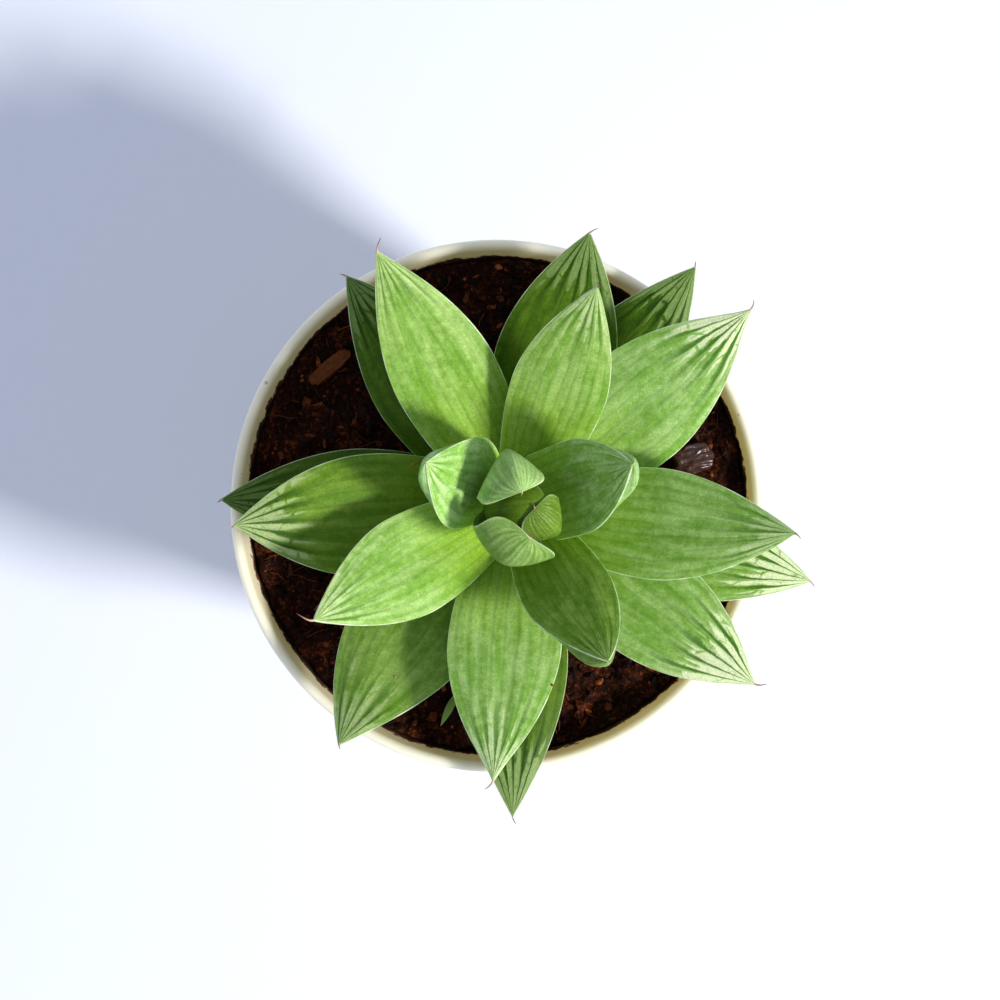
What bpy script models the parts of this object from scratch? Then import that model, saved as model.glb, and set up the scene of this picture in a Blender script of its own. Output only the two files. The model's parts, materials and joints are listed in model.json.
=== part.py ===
"""Potted haworthia: ivory nursery pot, coco-peat, stem with roots and a spiral of thick boat-shaped leaves.

Frame: origin on the floor under the middle of the pot, +Z up, metres.
"""

import math
from typing import NamedTuple

import bmesh
import bpy
from mathutils import Vector

MM = 0.001

# ---------------------------------------------------------------- pot (millimetres, radius and height)
POT_SEGMENTS = 48
POT_PROFILE = (
    # outside, from the middle of the base to the lip
    (9.5, 0.0), (10.4, 1.0), (26.2, 1.0), (27.2, 0.0), (30.2, 0.0), (31.1, 0.5), (31.5, 1.5),
    (36.8, 35.0), (42.1, 68.4), (42.6, 69.0), (43.8, 69.5), (44.1, 70.2), (44.8, 78.4),
    (45.0, 79.2), (44.7, 79.8), (44.2, 80.0), (43.6, 79.8), (43.2, 79.2),
    # inside, from the lip down to the floor of the pot
    (43.0, 78.2), (42.1, 74.0), (40.9, 68.0), (35.6, 35.0), (30.6, 3.8), (29.4, 2.6),
)
DRAIN_HOLES = 6
DRAIN_RING_RADIUS = 18.5
DRAIN_HOLE_RADIUS = 3.4

# ---------------------------------------------------------------- growing medium
SOIL_SEGMENTS = 40
SOIL_GAP = 0.35
SOIL_TOP = 74.3
SOIL_SWELL = 0.5
SOIL_RINGS = (0.16, 0.3, 0.44, 0.58, 0.72, 0.86)
SOIL_SIDE = ((41.55, 73.6), (40.45, 68.0), (35.2, 35.0), (30.3, 4.6), (28.9, 3.1))

# ---------------------------------------------------------------- stem and roots
STEM_XY = (3.2, 0.2)
STEM_SEGMENTS = 16
STEM_PROFILE = (
    (2.6, 57.0), (3.9, 60.5), (4.2, 66.0), (4.1, 74.0), (4.2, 84.0), (4.1, 91.0), (3.6, 93.2),
    (2.6, 94.8), (1.3, 95.9),
)
STEM_FOOT = 55.5
STEM_APEX = 96.3
STEM_CLEARANCE = 0.5
ROOT_SIDES = 7
ROOT_STEPS = 7
# azimuth, starting height, reach, drop, radius at the stem
ROOTS = (
    (20.0, 62.5, 26.0, 20.0, 1.5),
    (92.0, 60.5, 22.0, 30.0, 1.3),
    (165.0, 62.0, 30.0, 17.0, 1.5),
    (236.0, 60.2, 24.0, 27.0, 1.4),
    (305.0, 61.5, 25.0, 34.0, 1.3),
)

# ---------------------------------------------------------------- leaves
LEAF_RINGS = 12
LEAF_LAST_RING = 0.985
FACE_POINTS = 7
KEEL_POINTS = 5
CURVE_STEPS = 60
SPIRAL_TOP = 96.5
SPIRAL_STEP = 0.9


class Leaf(NamedTuple):
    """One leaf: place in the spiral, then its size in millimetres and angles in degrees."""

    order: float            # place in the spiral, counted outward from the bud
    azimuth: float          # direction it grows in, from +X
    length: float
    width: float
    depth: float            # thickness of the keel under the face
    lift_base: float        # angle over the horizontal where it leaves the stem
    lift_tip: float         # the same at its tip
    roll: float = 0.0       # turn of the face about the leaf's own axis, at the tip
    side: float = 0.0       # sideways sweep of the tip
    cup: float = 0.0        # how far the margins curl up, half angle
    start: float = 4.7      # distance of its base from the stem axis
    crown: float = 0.9      # swelling of the face
    base: float = 0.62      # width at the base, part of the full width
    widest: float = 0.46    # where along the length it is widest
    taper: float = 1.75     # bluntness of the tip
    bend: float = 1.4       # how late along the length it bends


LEAVES = (
    # the closed bud: small leaves that curl over the middle
    Leaf(-1.2, 187.0, 22.0, 9.0, 1.4, 50.0, 194.0, cup=25.0, start=0.6, crown=0.0, base=0.45, widest=0.62,
         taper=2.4, bend=2.0),
    Leaf(-1.0, -24.0, 20.0, 9.5, 1.5, 55.0, 165.0, cup=40.0, start=1.9, crown=0.0, base=0.6, widest=0.6,
         taper=2.6, bend=2.4),
    Leaf(0.0, 106.0, 24.0, 12.5, 1.8, 64.0, 172.0, side=-1.0, cup=42.0, start=2.7, crown=0.0, base=0.6,
         widest=0.6, taper=2.8, bend=2.6),
    Leaf(1.0, -110.0, 23.0, 13.5, 1.8, 62.0, 162.0, side=1.8, cup=42.0, start=2.7, crown=0.0, base=0.6,
         widest=0.6, taper=2.8, bend=2.6),
    # half-open leaves round the bud
    Leaf(2.0, 16.0, 31.0, 14.5, 4.4, 54.0, 62.0, roll=-8.0, side=1.5, start=3.6, base=0.7, widest=0.42),
    Leaf(3.0, 160.0, 27.5, 15.5, 4.0, 66.0, 46.0, side=-1.0, start=4.2, base=0.6, bend=2.6),
    Leaf(4.0, -60.0, 35.5, 15.0, 5.0, 42.0, 56.0, roll=-22.0),
    Leaf(5.0, 70.0, 39.5, 15.5, 5.0, 34.0, 44.0),
    # upper spreading leaves
    Leaf(6.0, -150.5, 39.0, 16.5, 5.2, 33.0, 40.0),
    Leaf(7.0, -9.0, 44.5, 18.0, 5.2, 27.0, 32.0, side=2.5),
    Leaf(8.0, 119.0, 46.0, 17.0, 5.2, 26.0, 30.0),
    Leaf(9.0, -95.0, 43.5, 18.5, 5.2, 24.0, 28.0, roll=8.0),
    Leaf(10.0, 38.5, 47.5, 19.5, 5.2, 22.0, 25.0, side=1.2),
    Leaf(11.0, 184.0, 43.5, 20.0, 5.2, 20.0, 23.0),
    # lower spreading leaves, the oldest last
    Leaf(12.0, -37.0, 45.5, 18.5, 4.8, 16.5, 18.5),
    Leaf(13.0, 75.0, 42.5, 20.0, 5.0, 13.0, 16.0),
    Leaf(14.0, -133.0, 45.0, 21.5, 5.2, 13.0, 15.5, roll=28.0, side=5.5),
    Leaf(15.0, -14.5, 46.0, 17.5, 4.6, 9.0, 10.5),
    Leaf(16.0, 126.6, 43.0, 18.5, 4.8, 8.5, 9.5),
    Leaf(17.0, -90.7, 47.5, 18.0, 4.6, 7.5, 8.0, roll=-10.0),
    Leaf(18.0, 53.0, 45.3, 18.0, 4.8, 7.0, 8.0),
    Leaf(19.0, 179.0, 45.0, 18.0, 4.8, 6.0, 7.0),
)

# ---------------------------------------------------------------- loose pieces on the medium
PIECE_GAP = 0.65
# name, x, y, turn, length, width, height
BARK_PIECES = (
    ("bark_stick", -28.6, 23.6, 40.0, 8.6, 2.6, 1.5),
    ("bark_chunk", 33.2, 8.0, 12.0, 7.4, 5.2, 2.6),
    ("bark_chip", 27.0, -27.0, 150.0, 5.0, 2.8, 1.2),
)
SEEDLING_FOOT = (-7.0, -32.2)
SEEDLING_TIP = (-9.6, -37.4)
SEEDLING_RISE = 2.2
SEEDLING_WIDTH = 1.3
SEEDLING_THICKNESS = 0.5

# ---------------------------------------------------------------- colours, linear
IVORY = (0.80, 0.74, 0.62, 1.0)
PEAT = (0.030, 0.014, 0.008, 1.0)
BARK = (0.130, 0.043, 0.022, 1.0)
STEM_TONE = (0.55, 0.58, 0.33, 1.0)
LEAF_TONES = ((0.105, 0.270, 0.055, 1.0), (0.190, 0.400, 0.085, 1.0))
SEEDLING_TONE = (0.330, 0.560, 0.160, 1.0)


def material(name, colour, roughness, subsurface=0.0):
    """A plain Principled material."""
    mat = bpy.data.materials.new(name)
    mat.use_nodes = True
    shader = mat.node_tree.nodes["Principled BSDF"]
    shader.inputs["Base Color"].default_value = colour
    shader.inputs["Roughness"].default_value = roughness
    shader.inputs["Subsurface Weight"].default_value = subsurface
    return mat


def add_object(name, verts, faces, mat):
    """A smooth-shaded object from points in millimetres, with its faces turned outward."""
    mesh = bpy.data.meshes.new(name)
    mesh.from_pydata([Vector(v) * MM for v in verts], [], faces)
    bm = bmesh.new()
    bm.from_mesh(mesh)
    bmesh.ops.recalc_face_normals(bm, faces=bm.faces)
    bm.to_mesh(mesh)
    bm.free()
    for polygon in mesh.polygons:
        polygon.use_smooth = True
    obj = bpy.data.objects.new(name, mesh)
    bpy.context.scene.collection.objects.link(obj)
    if mat is not None:
        mesh.materials.append(mat)
    return obj


def skin(rings, first, last):
    """Faces between rings of equal size, closed by one point under the first and one over the last."""
    size = len(rings[0])
    verts = [point for ring in rings for point in ring] + [first, last]
    bottom = len(verts) - 2
    top = len(verts) - 1
    faces = []
    for i in range(len(rings) - 1):
        for k in range(size):
            after = (k + 1) % size
            faces.append((i * size + k, i * size + after, (i + 1) * size + after, (i + 1) * size + k))
    for k in range(size):
        after = (k + 1) % size
        faces.append((after, k, bottom))
        faces.append(((len(rings) - 1) * size + k, (len(rings) - 1) * size + after, top))
    return verts, faces


def turned_ring(radius, height, segments, centre=(0.0, 0.0)):
    """One horizontal ring of points."""
    return [
        (
            centre[0] + radius * math.cos(2.0 * math.pi * k / segments),
            centre[1] + radius * math.sin(2.0 * math.pi * k / segments),
            height,
        )
        for k in range(segments)
    ]


def cut(target, cutter):
    """Subtract a cutter with an exact Boolean and leave it hidden."""
    cutter.hide_render = True
    cutter.display_type = "WIRE"
    modifier = target.modifiers.new("cut_" + cutter.name, "BOOLEAN")
    modifier.operation = "DIFFERENCE"
    modifier.solver = "EXACT"
    modifier.object = cutter


def join(target, piece):
    """Grow a piece onto the target with an exact Boolean."""
    piece.hide_render = True
    piece.display_type = "WIRE"
    modifier = target.modifiers.new("join_" + piece.name, "BOOLEAN")
    modifier.operation = "UNION"
    modifier.solver = "EXACT"
    modifier.object = piece


def build_pot(mat):
    """The thin-walled pot with its collar, rounded lip, foot ring and drainage holes."""
    rings = [turned_ring(radius, height, POT_SEGMENTS) for radius, height in POT_PROFILE]
    verts, faces = skin(rings, (0.0, 0.0, POT_PROFILE[0][1]), (0.0, 0.0, POT_PROFILE[-1][1]))
    pot = add_object("pot", verts, faces, mat)
    for k in range(DRAIN_HOLES):
        angle = 2.0 * math.pi * (k + 0.5) / DRAIN_HOLES
        centre = (DRAIN_RING_RADIUS * math.cos(angle), DRAIN_RING_RADIUS * math.sin(angle))
        walls = [turned_ring(DRAIN_HOLE_RADIUS, height, 12, centre) for height in (-3.0, 6.0)]
        verts, faces = skin(walls, (*centre, -3.0), (*centre, 6.0))
        cut(pot, add_object("drain_cutter_%d" % (k + 1), verts, faces, None))


def soil_height(x, y):
    """Level of the medium at a place: slow swells, a little higher round the stem."""
    swell = math.sin(0.21 * x + 0.6) * math.cos(0.17 * y - 0.4) + 0.6 * math.sin(0.11 * x - 0.27 * y)
    mound = math.exp(-((x - STEM_XY[0]) ** 2 + (y - STEM_XY[1]) ** 2) / 180.0)
    return SOIL_TOP + SOIL_SWELL * (swell + mound)


def build_soil(mat):
    """The plug of coco-peat, cut away round the stem and roots."""
    rings = []
    edge = SOIL_SIDE[0][0] - 1.0
    for part in SOIL_RINGS + (1.0,):
        ring = turned_ring(part * edge, 0.0, SOIL_SEGMENTS)
        rings.append([(x, y, soil_height(x, y)) for x, y, _ in ring])
    rings += [turned_ring(radius, height, SOIL_SEGMENTS) for radius, height in SOIL_SIDE]
    verts, faces = skin(rings, (0.0, 0.0, soil_height(0.0, 0.0)), (0.0, 0.0, SOIL_SIDE[-1][1]))
    soil = add_object("soil", verts, faces, mat)
    for piece in stem_pieces("cavity", STEM_CLEARANCE, None):
        cut(soil, piece)


def stem_pieces(prefix, extra, mat):
    """The stem and each root as closed bodies, made thicker by the given clearance."""
    rings = [turned_ring(radius + extra, height, STEM_SEGMENTS, STEM_XY) for radius, height in STEM_PROFILE]
    verts, faces = skin(rings, (*STEM_XY, STEM_FOOT - extra), (*STEM_XY, STEM_APEX + extra))
    pieces = [add_object(prefix, verts, faces, mat)]
    for number, (azimuth, height, reach, drop, thick) in enumerate(ROOTS, start=1):
        angle = math.radians(azimuth)
        out = Vector((math.cos(angle), math.sin(angle), 0.0))
        across = Vector((-math.sin(angle), math.cos(angle), 0.0))
        rings = []
        for i in range(ROOT_STEPS):
            t = i / (ROOT_STEPS - 1)
            centre = Vector((*STEM_XY, height)) + out * (1.5 + reach * t) - Vector((0.0, 0.0, drop * t ** 1.6))
            centre += across * 2.2 * math.sin(4.0 * t + number)* t
            slope = Vector((0.0, 0.0, -drop * 1.6 * max(t, 0.001) ** 0.6)) + out * reach
            slope.normalize()
            up = slope.cross(across).normalized()
            radius = thick * (1.0 - 0.6 * t) + extra
            rings.append([
                centre + (across * math.cos(a) + up * math.sin(a)) * radius
                for a in (2.0 * math.pi * k / ROOT_SIDES for k in range(ROOT_SIDES))
            ])
        first = sum(rings[0], Vector()) / ROOT_SIDES
        last = sum(rings[-1], Vector()) / ROOT_SIDES + slope * (0.6 + extra)
        verts, faces = skin(rings, first, last)
        pieces.append(add_object("%s_root_%d" % (prefix, number), verts, faces, None))
    return pieces


def build_stem(mat):
    """The stem with its roots grown onto it as one piece."""
    stem, *roots = stem_pieces("stem", 0.0, mat)
    for root in roots:
        join(stem, root)


def leaf_curve(leaf):
    """Distance out, height and lift angle of the leaf's axis at even steps along its length."""
    out = leaf.start
    height = SPIRAL_TOP - SPIRAL_STEP * leaf.order
    step = leaf.length / CURVE_STEPS
    samples = []
    for i in range(CURVE_STEPS + 1):
        s = i / CURVE_STEPS
        lift = math.radians(leaf.lift_base + (leaf.lift_tip - leaf.lift_base) * s ** leaf.bend)
        samples.append((out, height, lift))
        half = math.radians(
            leaf.lift_base + (leaf.lift_tip - leaf.lift_base) * (s + 0.5 / CURVE_STEPS) ** leaf.bend
        )
        out += math.cos(half) * step
        height += math.sin(half) * step
    return samples


def leaf_frame(leaf, samples, s):
    """Point on the leaf's axis with the directions across the leaf and up from its face."""
    place = s * CURVE_STEPS
    low = min(int(place), CURVE_STEPS - 1)
    out, height, lift = (a + (b - a) * (place - low) for a, b in zip(samples[low], samples[low + 1]))
    azimuth = math.radians(leaf.azimuth)
    radial = Vector((math.cos(azimuth), math.sin(azimuth), 0.0))
    tangential = Vector((-math.sin(azimuth), math.cos(azimuth), 0.0))
    point = Vector((*STEM_XY, height)) + radial * out + tangential * leaf.side * s * s
    along = radial * math.cos(lift) + Vector((0.0, 0.0, math.sin(lift)))
    along = (along + tangential * (2.0 * leaf.side * s / leaf.length)).normalized()
    across = (tangential - along * along.dot(tangential)).normalized()
    up = along.cross(across)
    roll = math.radians(leaf.roll) * s
    return (
        point,
        across * math.cos(roll) + up * math.sin(roll),
        up * math.cos(roll) - across * math.sin(roll),
    )


def leaf_ring(leaf, samples, s):
    """One closed cross-section: a gently swollen face over a keeled underside."""
    point, across, up = leaf_frame(leaf, samples, s)
    toward_tip = max(0.0, (s - leaf.widest) / (1.0 - leaf.widest))
    if s < leaf.widest:
        part = leaf.base + (1.0 - leaf.base) * math.sin(0.5 * math.pi * s / leaf.widest)
    else:
        part = 1.0 - toward_tip ** leaf.taper
    half = 0.5 * leaf.width * part
    end = 1.0 - toward_tip ** 3
    depth = leaf.depth * (0.36 + 0.64 * math.sin(0.5 * math.pi * min(s / 0.55, 1.0))) * end
    crown = leaf.crown * (0.2 + 0.8 * min(s / 0.5, 1.0)) * end
    keel = 2.4 - 0.8 * s
    outline = []
    for k in range(FACE_POINTS):
        u = -math.cos(math.pi * k / (FACE_POINTS - 1))
        outline.append((u, crown * (1.0 - u * u)))
    for k in range(1, KEEL_POINTS + 1):
        u = math.cos(math.pi * k / (KEEL_POINTS + 1))
        outline.append((u, -depth * (1.0 - abs(u) ** keel)))
    curl = math.radians(leaf.cup)
    ring = []
    for u, rise in outline:
        if curl > 0.0:
            radius = half / curl
            x = (radius - rise) * math.sin(curl * u)
            y = radius - (radius - rise) * math.cos(curl * u)
        else:
            x = half * u
            y = rise
        ring.append(point + across * x + up * y)
    return ring


def build_leaf(name, leaf, mat):
    """One closed leaf body from its base against the stem to its pointed tip."""
    samples = leaf_curve(leaf)
    rings = []
    for i in range(LEAF_RINGS):
        s = LEAF_LAST_RING * math.sin(0.48 * math.pi * i / (LEAF_RINGS - 1)) / math.sin(0.48 * math.pi)
        rings.append(leaf_ring(leaf, samples, s))
    first = sum(rings[0], Vector()) / len(rings[0])
    tip, _, _ = leaf_frame(leaf, samples, 1.0)
    verts, faces = skin(rings, first, tip)
    add_object(name, verts, faces, mat)


def build_bark(name, x, y, turn, length, width, height, mat):
    """A rough chip of bark that lies just over the medium."""
    outline = (
        (-1.0, -0.35), (-0.62, -0.85), (-0.05, -0.62), (0.55, -1.0), (1.0, -0.45),
        (0.86, 0.5), (0.35, 0.72), (-0.2, 1.0), (-0.75, 0.66),
    )
    angle = math.radians(turn)
    foot = soil_height(x, y) + PIECE_GAP
    rings = []
    for level, size in ((0.0, 0.86), (0.35, 1.0), (0.8, 0.92), (1.0, 0.6)):
        ring = []
        for k, (u, v) in enumerate(outline):
            px = 0.5 * length * u * size
            py = 0.5 * width * v * size
            rough = 0.12 * height * math.sin(2.3 * k + 3.0 * level)
            ring.append((
                x + px * math.cos(angle) - py * math.sin(angle),
                y + px * math.sin(angle) + py * math.cos(angle),
                foot + height * level + (rough if level > 0.5 else 0.0),
            ))
        rings.append(ring)
    verts, faces = skin(rings, (x, y, foot), (x, y, foot + 1.05 * height))
    add_object(name, verts, faces, mat)


def build_seedling(mat):
    """One thin pale blade that leans over the medium."""
    foot = Vector((*SEEDLING_FOOT, soil_height(*SEEDLING_FOOT) + PIECE_GAP))
    tip = Vector((*SEEDLING_TIP, foot.z + SEEDLING_RISE))
    along = (tip - foot).normalized()
    across = along.cross(Vector((0.0, 0.0, 1.0))).normalized()
    up = across.cross(along)
    rings = []
    for t, part in ((0.0, 0.45), (0.25, 0.9), (0.5, 1.0), (0.75, 0.75), (0.92, 0.35)):
        centre = foot + (tip - foot) * t + Vector((0.0, 0.0, 1.6 * t * (1.0 - t)))
        rings.append([
            centre + across * 0.5 * SEEDLING_WIDTH * part * math.cos(a) + up * 0.5 * SEEDLING_THICKNESS * math.sin(a)
            for a in (math.pi * k / 4.0 for k in range(8))
        ])
    verts, faces = skin(rings, foot, tip)
    add_object("seedling", verts, faces, mat)


def main():
    for obj in list(bpy.data.objects):
        bpy.data.objects.remove(obj)
    build_pot(material("ivory_plastic", IVORY, 0.3))
    build_soil(material("coco_peat", PEAT, 0.95))
    build_stem(material("stem_tissue", STEM_TONE, 0.6))
    for number, leaf in enumerate(LEAVES, start=1):
        blend = (number - 1) / (len(LEAVES) - 1)
        tone = [a + (b - a) * (1.0 - abs(2.0 * blend - 0.9)) for a, b in zip(*LEAF_TONES)]
        name = "leaf_%02d" % number
        build_leaf(name, leaf, material(name + "_tissue", tone, 0.42, 0.1))
    for name, x, y, turn, length, width, height in BARK_PIECES:
        build_bark(name, x, y, turn, length, width, height, material(name + "_bark", BARK, 0.7))
    build_seedling(material("seedling_tissue", SEEDLING_TONE, 0.5))


main()
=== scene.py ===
"""A potted haworthia: a spiral of thick boat-shaped leaves in a round ivory nursery pot of coco-peat.

Every size below is in millimetres and every angle in degrees, unless a name says otherwise; meshes are
written in metres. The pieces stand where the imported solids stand, except that the leaves of the bud and
round it are folded and bent further than their solids.
"""

from __future__ import annotations

import json
import logging
import math
from collections.abc import Callable
from dataclasses import dataclass, field
from enum import Enum
from functools import partial

import bpy
import numpy as np
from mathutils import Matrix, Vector
from numpy.typing import NDArray

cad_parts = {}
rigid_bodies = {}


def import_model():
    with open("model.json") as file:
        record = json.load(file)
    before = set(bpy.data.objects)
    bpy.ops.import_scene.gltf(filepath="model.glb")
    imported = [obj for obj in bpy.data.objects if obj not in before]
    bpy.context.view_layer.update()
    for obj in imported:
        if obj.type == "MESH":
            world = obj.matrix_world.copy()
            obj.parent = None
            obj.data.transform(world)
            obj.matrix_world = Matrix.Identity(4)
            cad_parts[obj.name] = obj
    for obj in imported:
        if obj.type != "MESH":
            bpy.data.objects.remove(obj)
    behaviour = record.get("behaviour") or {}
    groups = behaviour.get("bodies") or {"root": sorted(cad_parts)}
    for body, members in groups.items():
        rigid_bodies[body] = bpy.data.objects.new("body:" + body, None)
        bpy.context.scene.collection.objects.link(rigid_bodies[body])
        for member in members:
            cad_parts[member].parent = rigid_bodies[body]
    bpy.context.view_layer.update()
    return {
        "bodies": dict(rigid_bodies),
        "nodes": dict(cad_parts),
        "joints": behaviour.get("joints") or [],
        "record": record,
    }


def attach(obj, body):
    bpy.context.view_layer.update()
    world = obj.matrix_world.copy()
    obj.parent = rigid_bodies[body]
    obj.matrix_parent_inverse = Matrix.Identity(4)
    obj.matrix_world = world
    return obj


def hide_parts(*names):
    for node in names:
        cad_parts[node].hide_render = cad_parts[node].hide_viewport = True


Array = NDArray[np.float64]
Faces = list[list[int]]
Shape = tuple[Array, Faces]
Pair = tuple[float, float]
Triple = tuple[float, float, float]
Inputs = dict[str | int, object] | list[object]
AddNode = Callable[..., bpy.types.NodeSocket]

LOG = logging.getLogger("haworthia")
MM = 0.001
STEM_CENTRE = (3.2, 0.2)
BODY = "root"
EASED = {"interpolation_type": "SMOOTHSTEP"}


# ---------------------------------------------------------------- small tools


def linear(code: str) -> tuple[float, float, float, float]:
    """Turn an sRGB hex value into a linear colour.

    Args:
        code: Six hex digits.

    Returns:
        Red, green, blue and alpha, linear.
    """
    parts = np.array([int(code[i : i + 2], 16) for i in (0, 2, 4)]) / 255.0
    curve = np.where(parts <= 0.04045, parts / 12.92, ((parts + 0.055) / 1.055) ** 2.4)
    return (float(curve[0]), float(curve[1]), float(curve[2]), 1.0)


def smooth(low: float, high: float, value: Array) -> Array:
    """Ease from 0 at low to 1 at high along a cubic with level ends."""
    t = np.clip((value - low) / (high - low), 0.0, 1.0)
    return t * t * (3.0 - 2.0 * t)


def value_noise(x: Array, y: Array, grain: float, seed: int) -> Array:
    """Smooth noise in -1..1 from a lattice of random values, eased between its corners.

    Args:
        x: First coordinate of each place.
        y: Second coordinate.
        grain: Spacing of the lattice, in the units of x and y.
        seed: Which lattice.

    Returns:
        The noise at each place.
    """
    size = 64
    table = np.random.default_rng(seed).uniform(-1.0, 1.0, (size, size))
    px, py = x / grain, y / grain
    ix, iy = np.floor(px).astype(int), np.floor(py).astype(int)
    fx, fy = smooth(0.0, 1.0, px - ix), smooth(0.0, 1.0, py - iy)
    left, right, low, high = ix % size, (ix + 1) % size, iy % size, (iy + 1) % size
    near = table[left, low] * (1.0 - fx) + table[right, low] * fx
    far = table[left, high] * (1.0 - fx) + table[right, high] * fx
    return near * (1.0 - fy) + far * fy


def layered_noise(x: Array, y: Array, grain: float, layers: int, seed: int) -> Array:
    """Add layers of value noise, each of half the grain and half the height of the one before."""
    return sum(value_noise(x, y, grain / 2**k, seed + k) / 2**k for k in range(layers))


def unit(vectors: Array) -> Array:
    """Scale vectors to a length of 1."""
    return vectors / np.linalg.norm(vectors, axis=-1, keepdims=True)


def pattern_scale(size: float) -> float:
    """The texture scale that gives a pattern a size in millimetres."""
    return 1.0 / (size * MM)


def turns(count: int) -> Array:
    """Even angles round a circle, in radians."""
    return np.linspace(0.0, 2.0 * math.pi, count, endpoint=False)


def ball_angles(rows: int, columns: int, cut: float) -> tuple[Array, Array]:
    """Angles for the rings of a ball.

    Args:
        rows: Rings from its foot to its top.
        columns: Points round each ring.
        cut: Part of a half turn that is left out at the foot and at the top.

    Returns:
        Angles from the foot, as a column, and round the ball, as a row.
    """
    return np.linspace(cut * math.pi, (1.0 - cut) * math.pi, rows)[:, None], turns(columns)[None, :]


def turn_about(x: Array, y: Array, across: Array, up: Array, angle: Array) -> tuple[Array, Array]:
    """Turn offsets by an angle in radians and add them to a place in plan."""
    cos, sin = np.cos(angle), np.sin(angle)
    return x + across * cos - up * sin, y + across * sin + up * cos


def turned(profile: Array, count: int) -> Array:
    """Turn a profile of radii and heights round the pot's axis.

    Args:
        profile: Radius and height, one row each.
        count: Points round each ring.

    Returns:
        One ring of points for each row.
    """
    angle = turns(count)[None, :]
    radius, height = profile[:, :1], profile[:, 1:]
    return np.stack([radius * np.cos(angle), radius * np.sin(angle), height + 0.0 * angle], axis=-1)


def path_frames(path: Array, helper: Triple) -> tuple[Array, Array, Array]:
    """Directions along a path, across it square to a helper direction, and up from both.

    Args:
        path: Points of the path, in the last but one axis.
        helper: A direction that the path never takes.

    Returns:
        Along, across and up, each of length 1.
    """
    along = unit(np.gradient(path, axis=-2))
    across = unit(np.cross(along, np.array(helper)))
    return along, across, np.cross(across, along)


def fillet(points: Array, radius: float, steps: int) -> Array:
    """Round every inner corner of a polyline with a quadratic arc.

    Args:
        points: Corners, one row each.
        radius: Length taken from each side of a corner, at most 0.45 of that side.
        steps: Points on each arc.

    Returns:
        The rounded line, with its two ends kept.
    """
    corner = points[1:-1]
    back, ahead = points[:-2] - corner, points[2:] - corner
    back *= np.minimum(radius / np.linalg.norm(back, axis=1), 0.45)[:, None]
    ahead *= np.minimum(radius / np.linalg.norm(ahead, axis=1), 0.45)[:, None]
    t = np.linspace(0.0, 1.0, steps)[None, :, None]
    arcs = (
        (1.0 - t) ** 2 * (corner + back)[:, None]
        + 2.0 * t * (1.0 - t) * corner[:, None]
        + t**2 * (corner + ahead)[:, None]
    )
    return np.vstack([points[:1], arcs.reshape(-1, points.shape[1]), points[-1:]])


def closed_rings(rings: Array, first: Array | None = None, last: Array | None = None) -> Shape:
    """Skin a stack of rings with quads and close both of its ends to a point with triangles.

    Args:
        rings: Points by ring, by place round the ring, by coordinate.
        first: Point that closes the first ring, its middle unless given.
        last: Point that closes the last ring, its middle unless given.

    Returns:
        The points and the faces.
    """
    rows, columns, _ = rings.shape
    first = rings[0].mean(axis=0) if first is None else first
    last = rings[-1].mean(axis=0) if last is None else last
    points = np.vstack([rings.reshape(-1, 3), first[None], last[None]])
    here = np.arange(columns)
    after = (here + 1) % columns
    row = np.arange(rows - 1)[:, None] * columns
    quads = np.stack([row + here, row + columns + here, row + columns + after, row + after], axis=-1)
    centre = np.full(columns, rows * columns)
    end = (rows - 1) * columns
    start_cap = np.stack([centre, here, after], axis=-1)
    end_cap = np.stack([centre + 1, end + after, end + here], axis=-1)
    return points, quads.reshape(-1, 4).tolist() + start_cap.tolist() + end_cap.tolist()


def tube(path: Array, radii: Array, sides: int) -> Shape:
    """Carry a circle of changing radius along a path.

    Args:
        path: Points of the centre line.
        radii: Radius at each point.
        sides: Points round the circle.

    Returns:
        The points and faces of a closed tube.
    """
    _, across, up = path_frames(path, (0.31, 0.52, 0.80))
    angle = turns(sides)[None, :, None]
    rings = path[:, None] + radii[:, None, None] * (
        across[:, None] * np.cos(angle) + up[:, None] * np.sin(angle)
    )
    return closed_rings(rings, path[0], path[-1])


def join(shapes: list[Shape]) -> Shape:
    """Put several shapes into one list of points and one of faces."""
    faces: Faces = []
    first = 0
    for points, own in shapes:
        faces.extend([[corner + first for corner in face] for face in own])
        first += len(points)
    return np.vstack([points for points, _ in shapes]), faces


def new_piece(
    name: str,
    points: Array,
    faces: Faces,
    materials: list[bpy.types.Material],
    face_materials: NDArray[np.int64] | None = None,
    values: dict[str, Array] | None = None,
) -> bpy.types.Object:
    """Make a smooth-shaded mesh object at the origin, and report it.

    Args:
        name: Name of the object and its mesh.
        points: One row for each point, in millimetres.
        faces: Point numbers of each face, seen anticlockwise from outside.
        materials: The object's materials.
        face_materials: Which material each face takes.
        values: Named numbers, one for each point, for the materials to read.

    Returns:
        The object, linked to the scene.
    """
    mesh = bpy.data.meshes.new(name)
    mesh.from_pydata((points * MM).tolist(), [], faces)
    mesh.polygons.foreach_set("use_smooth", np.ones(len(mesh.polygons), dtype=bool))
    for material in materials:
        mesh.materials.append(material)
    if face_materials is not None:
        mesh.polygons.foreach_set("material_index", face_materials.astype(np.int32))
    for label, numbers in (values or {}).items():
        attribute = mesh.attributes.new(label, "FLOAT", "POINT")
        attribute.data.foreach_set("value", numbers.astype(np.float32).ravel())
    mesh.update()
    piece = bpy.data.objects.new(name, mesh)
    bpy.context.scene.collection.objects.link(piece)
    LOG.info("%s: %d points", name, len(points))
    return piece


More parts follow.
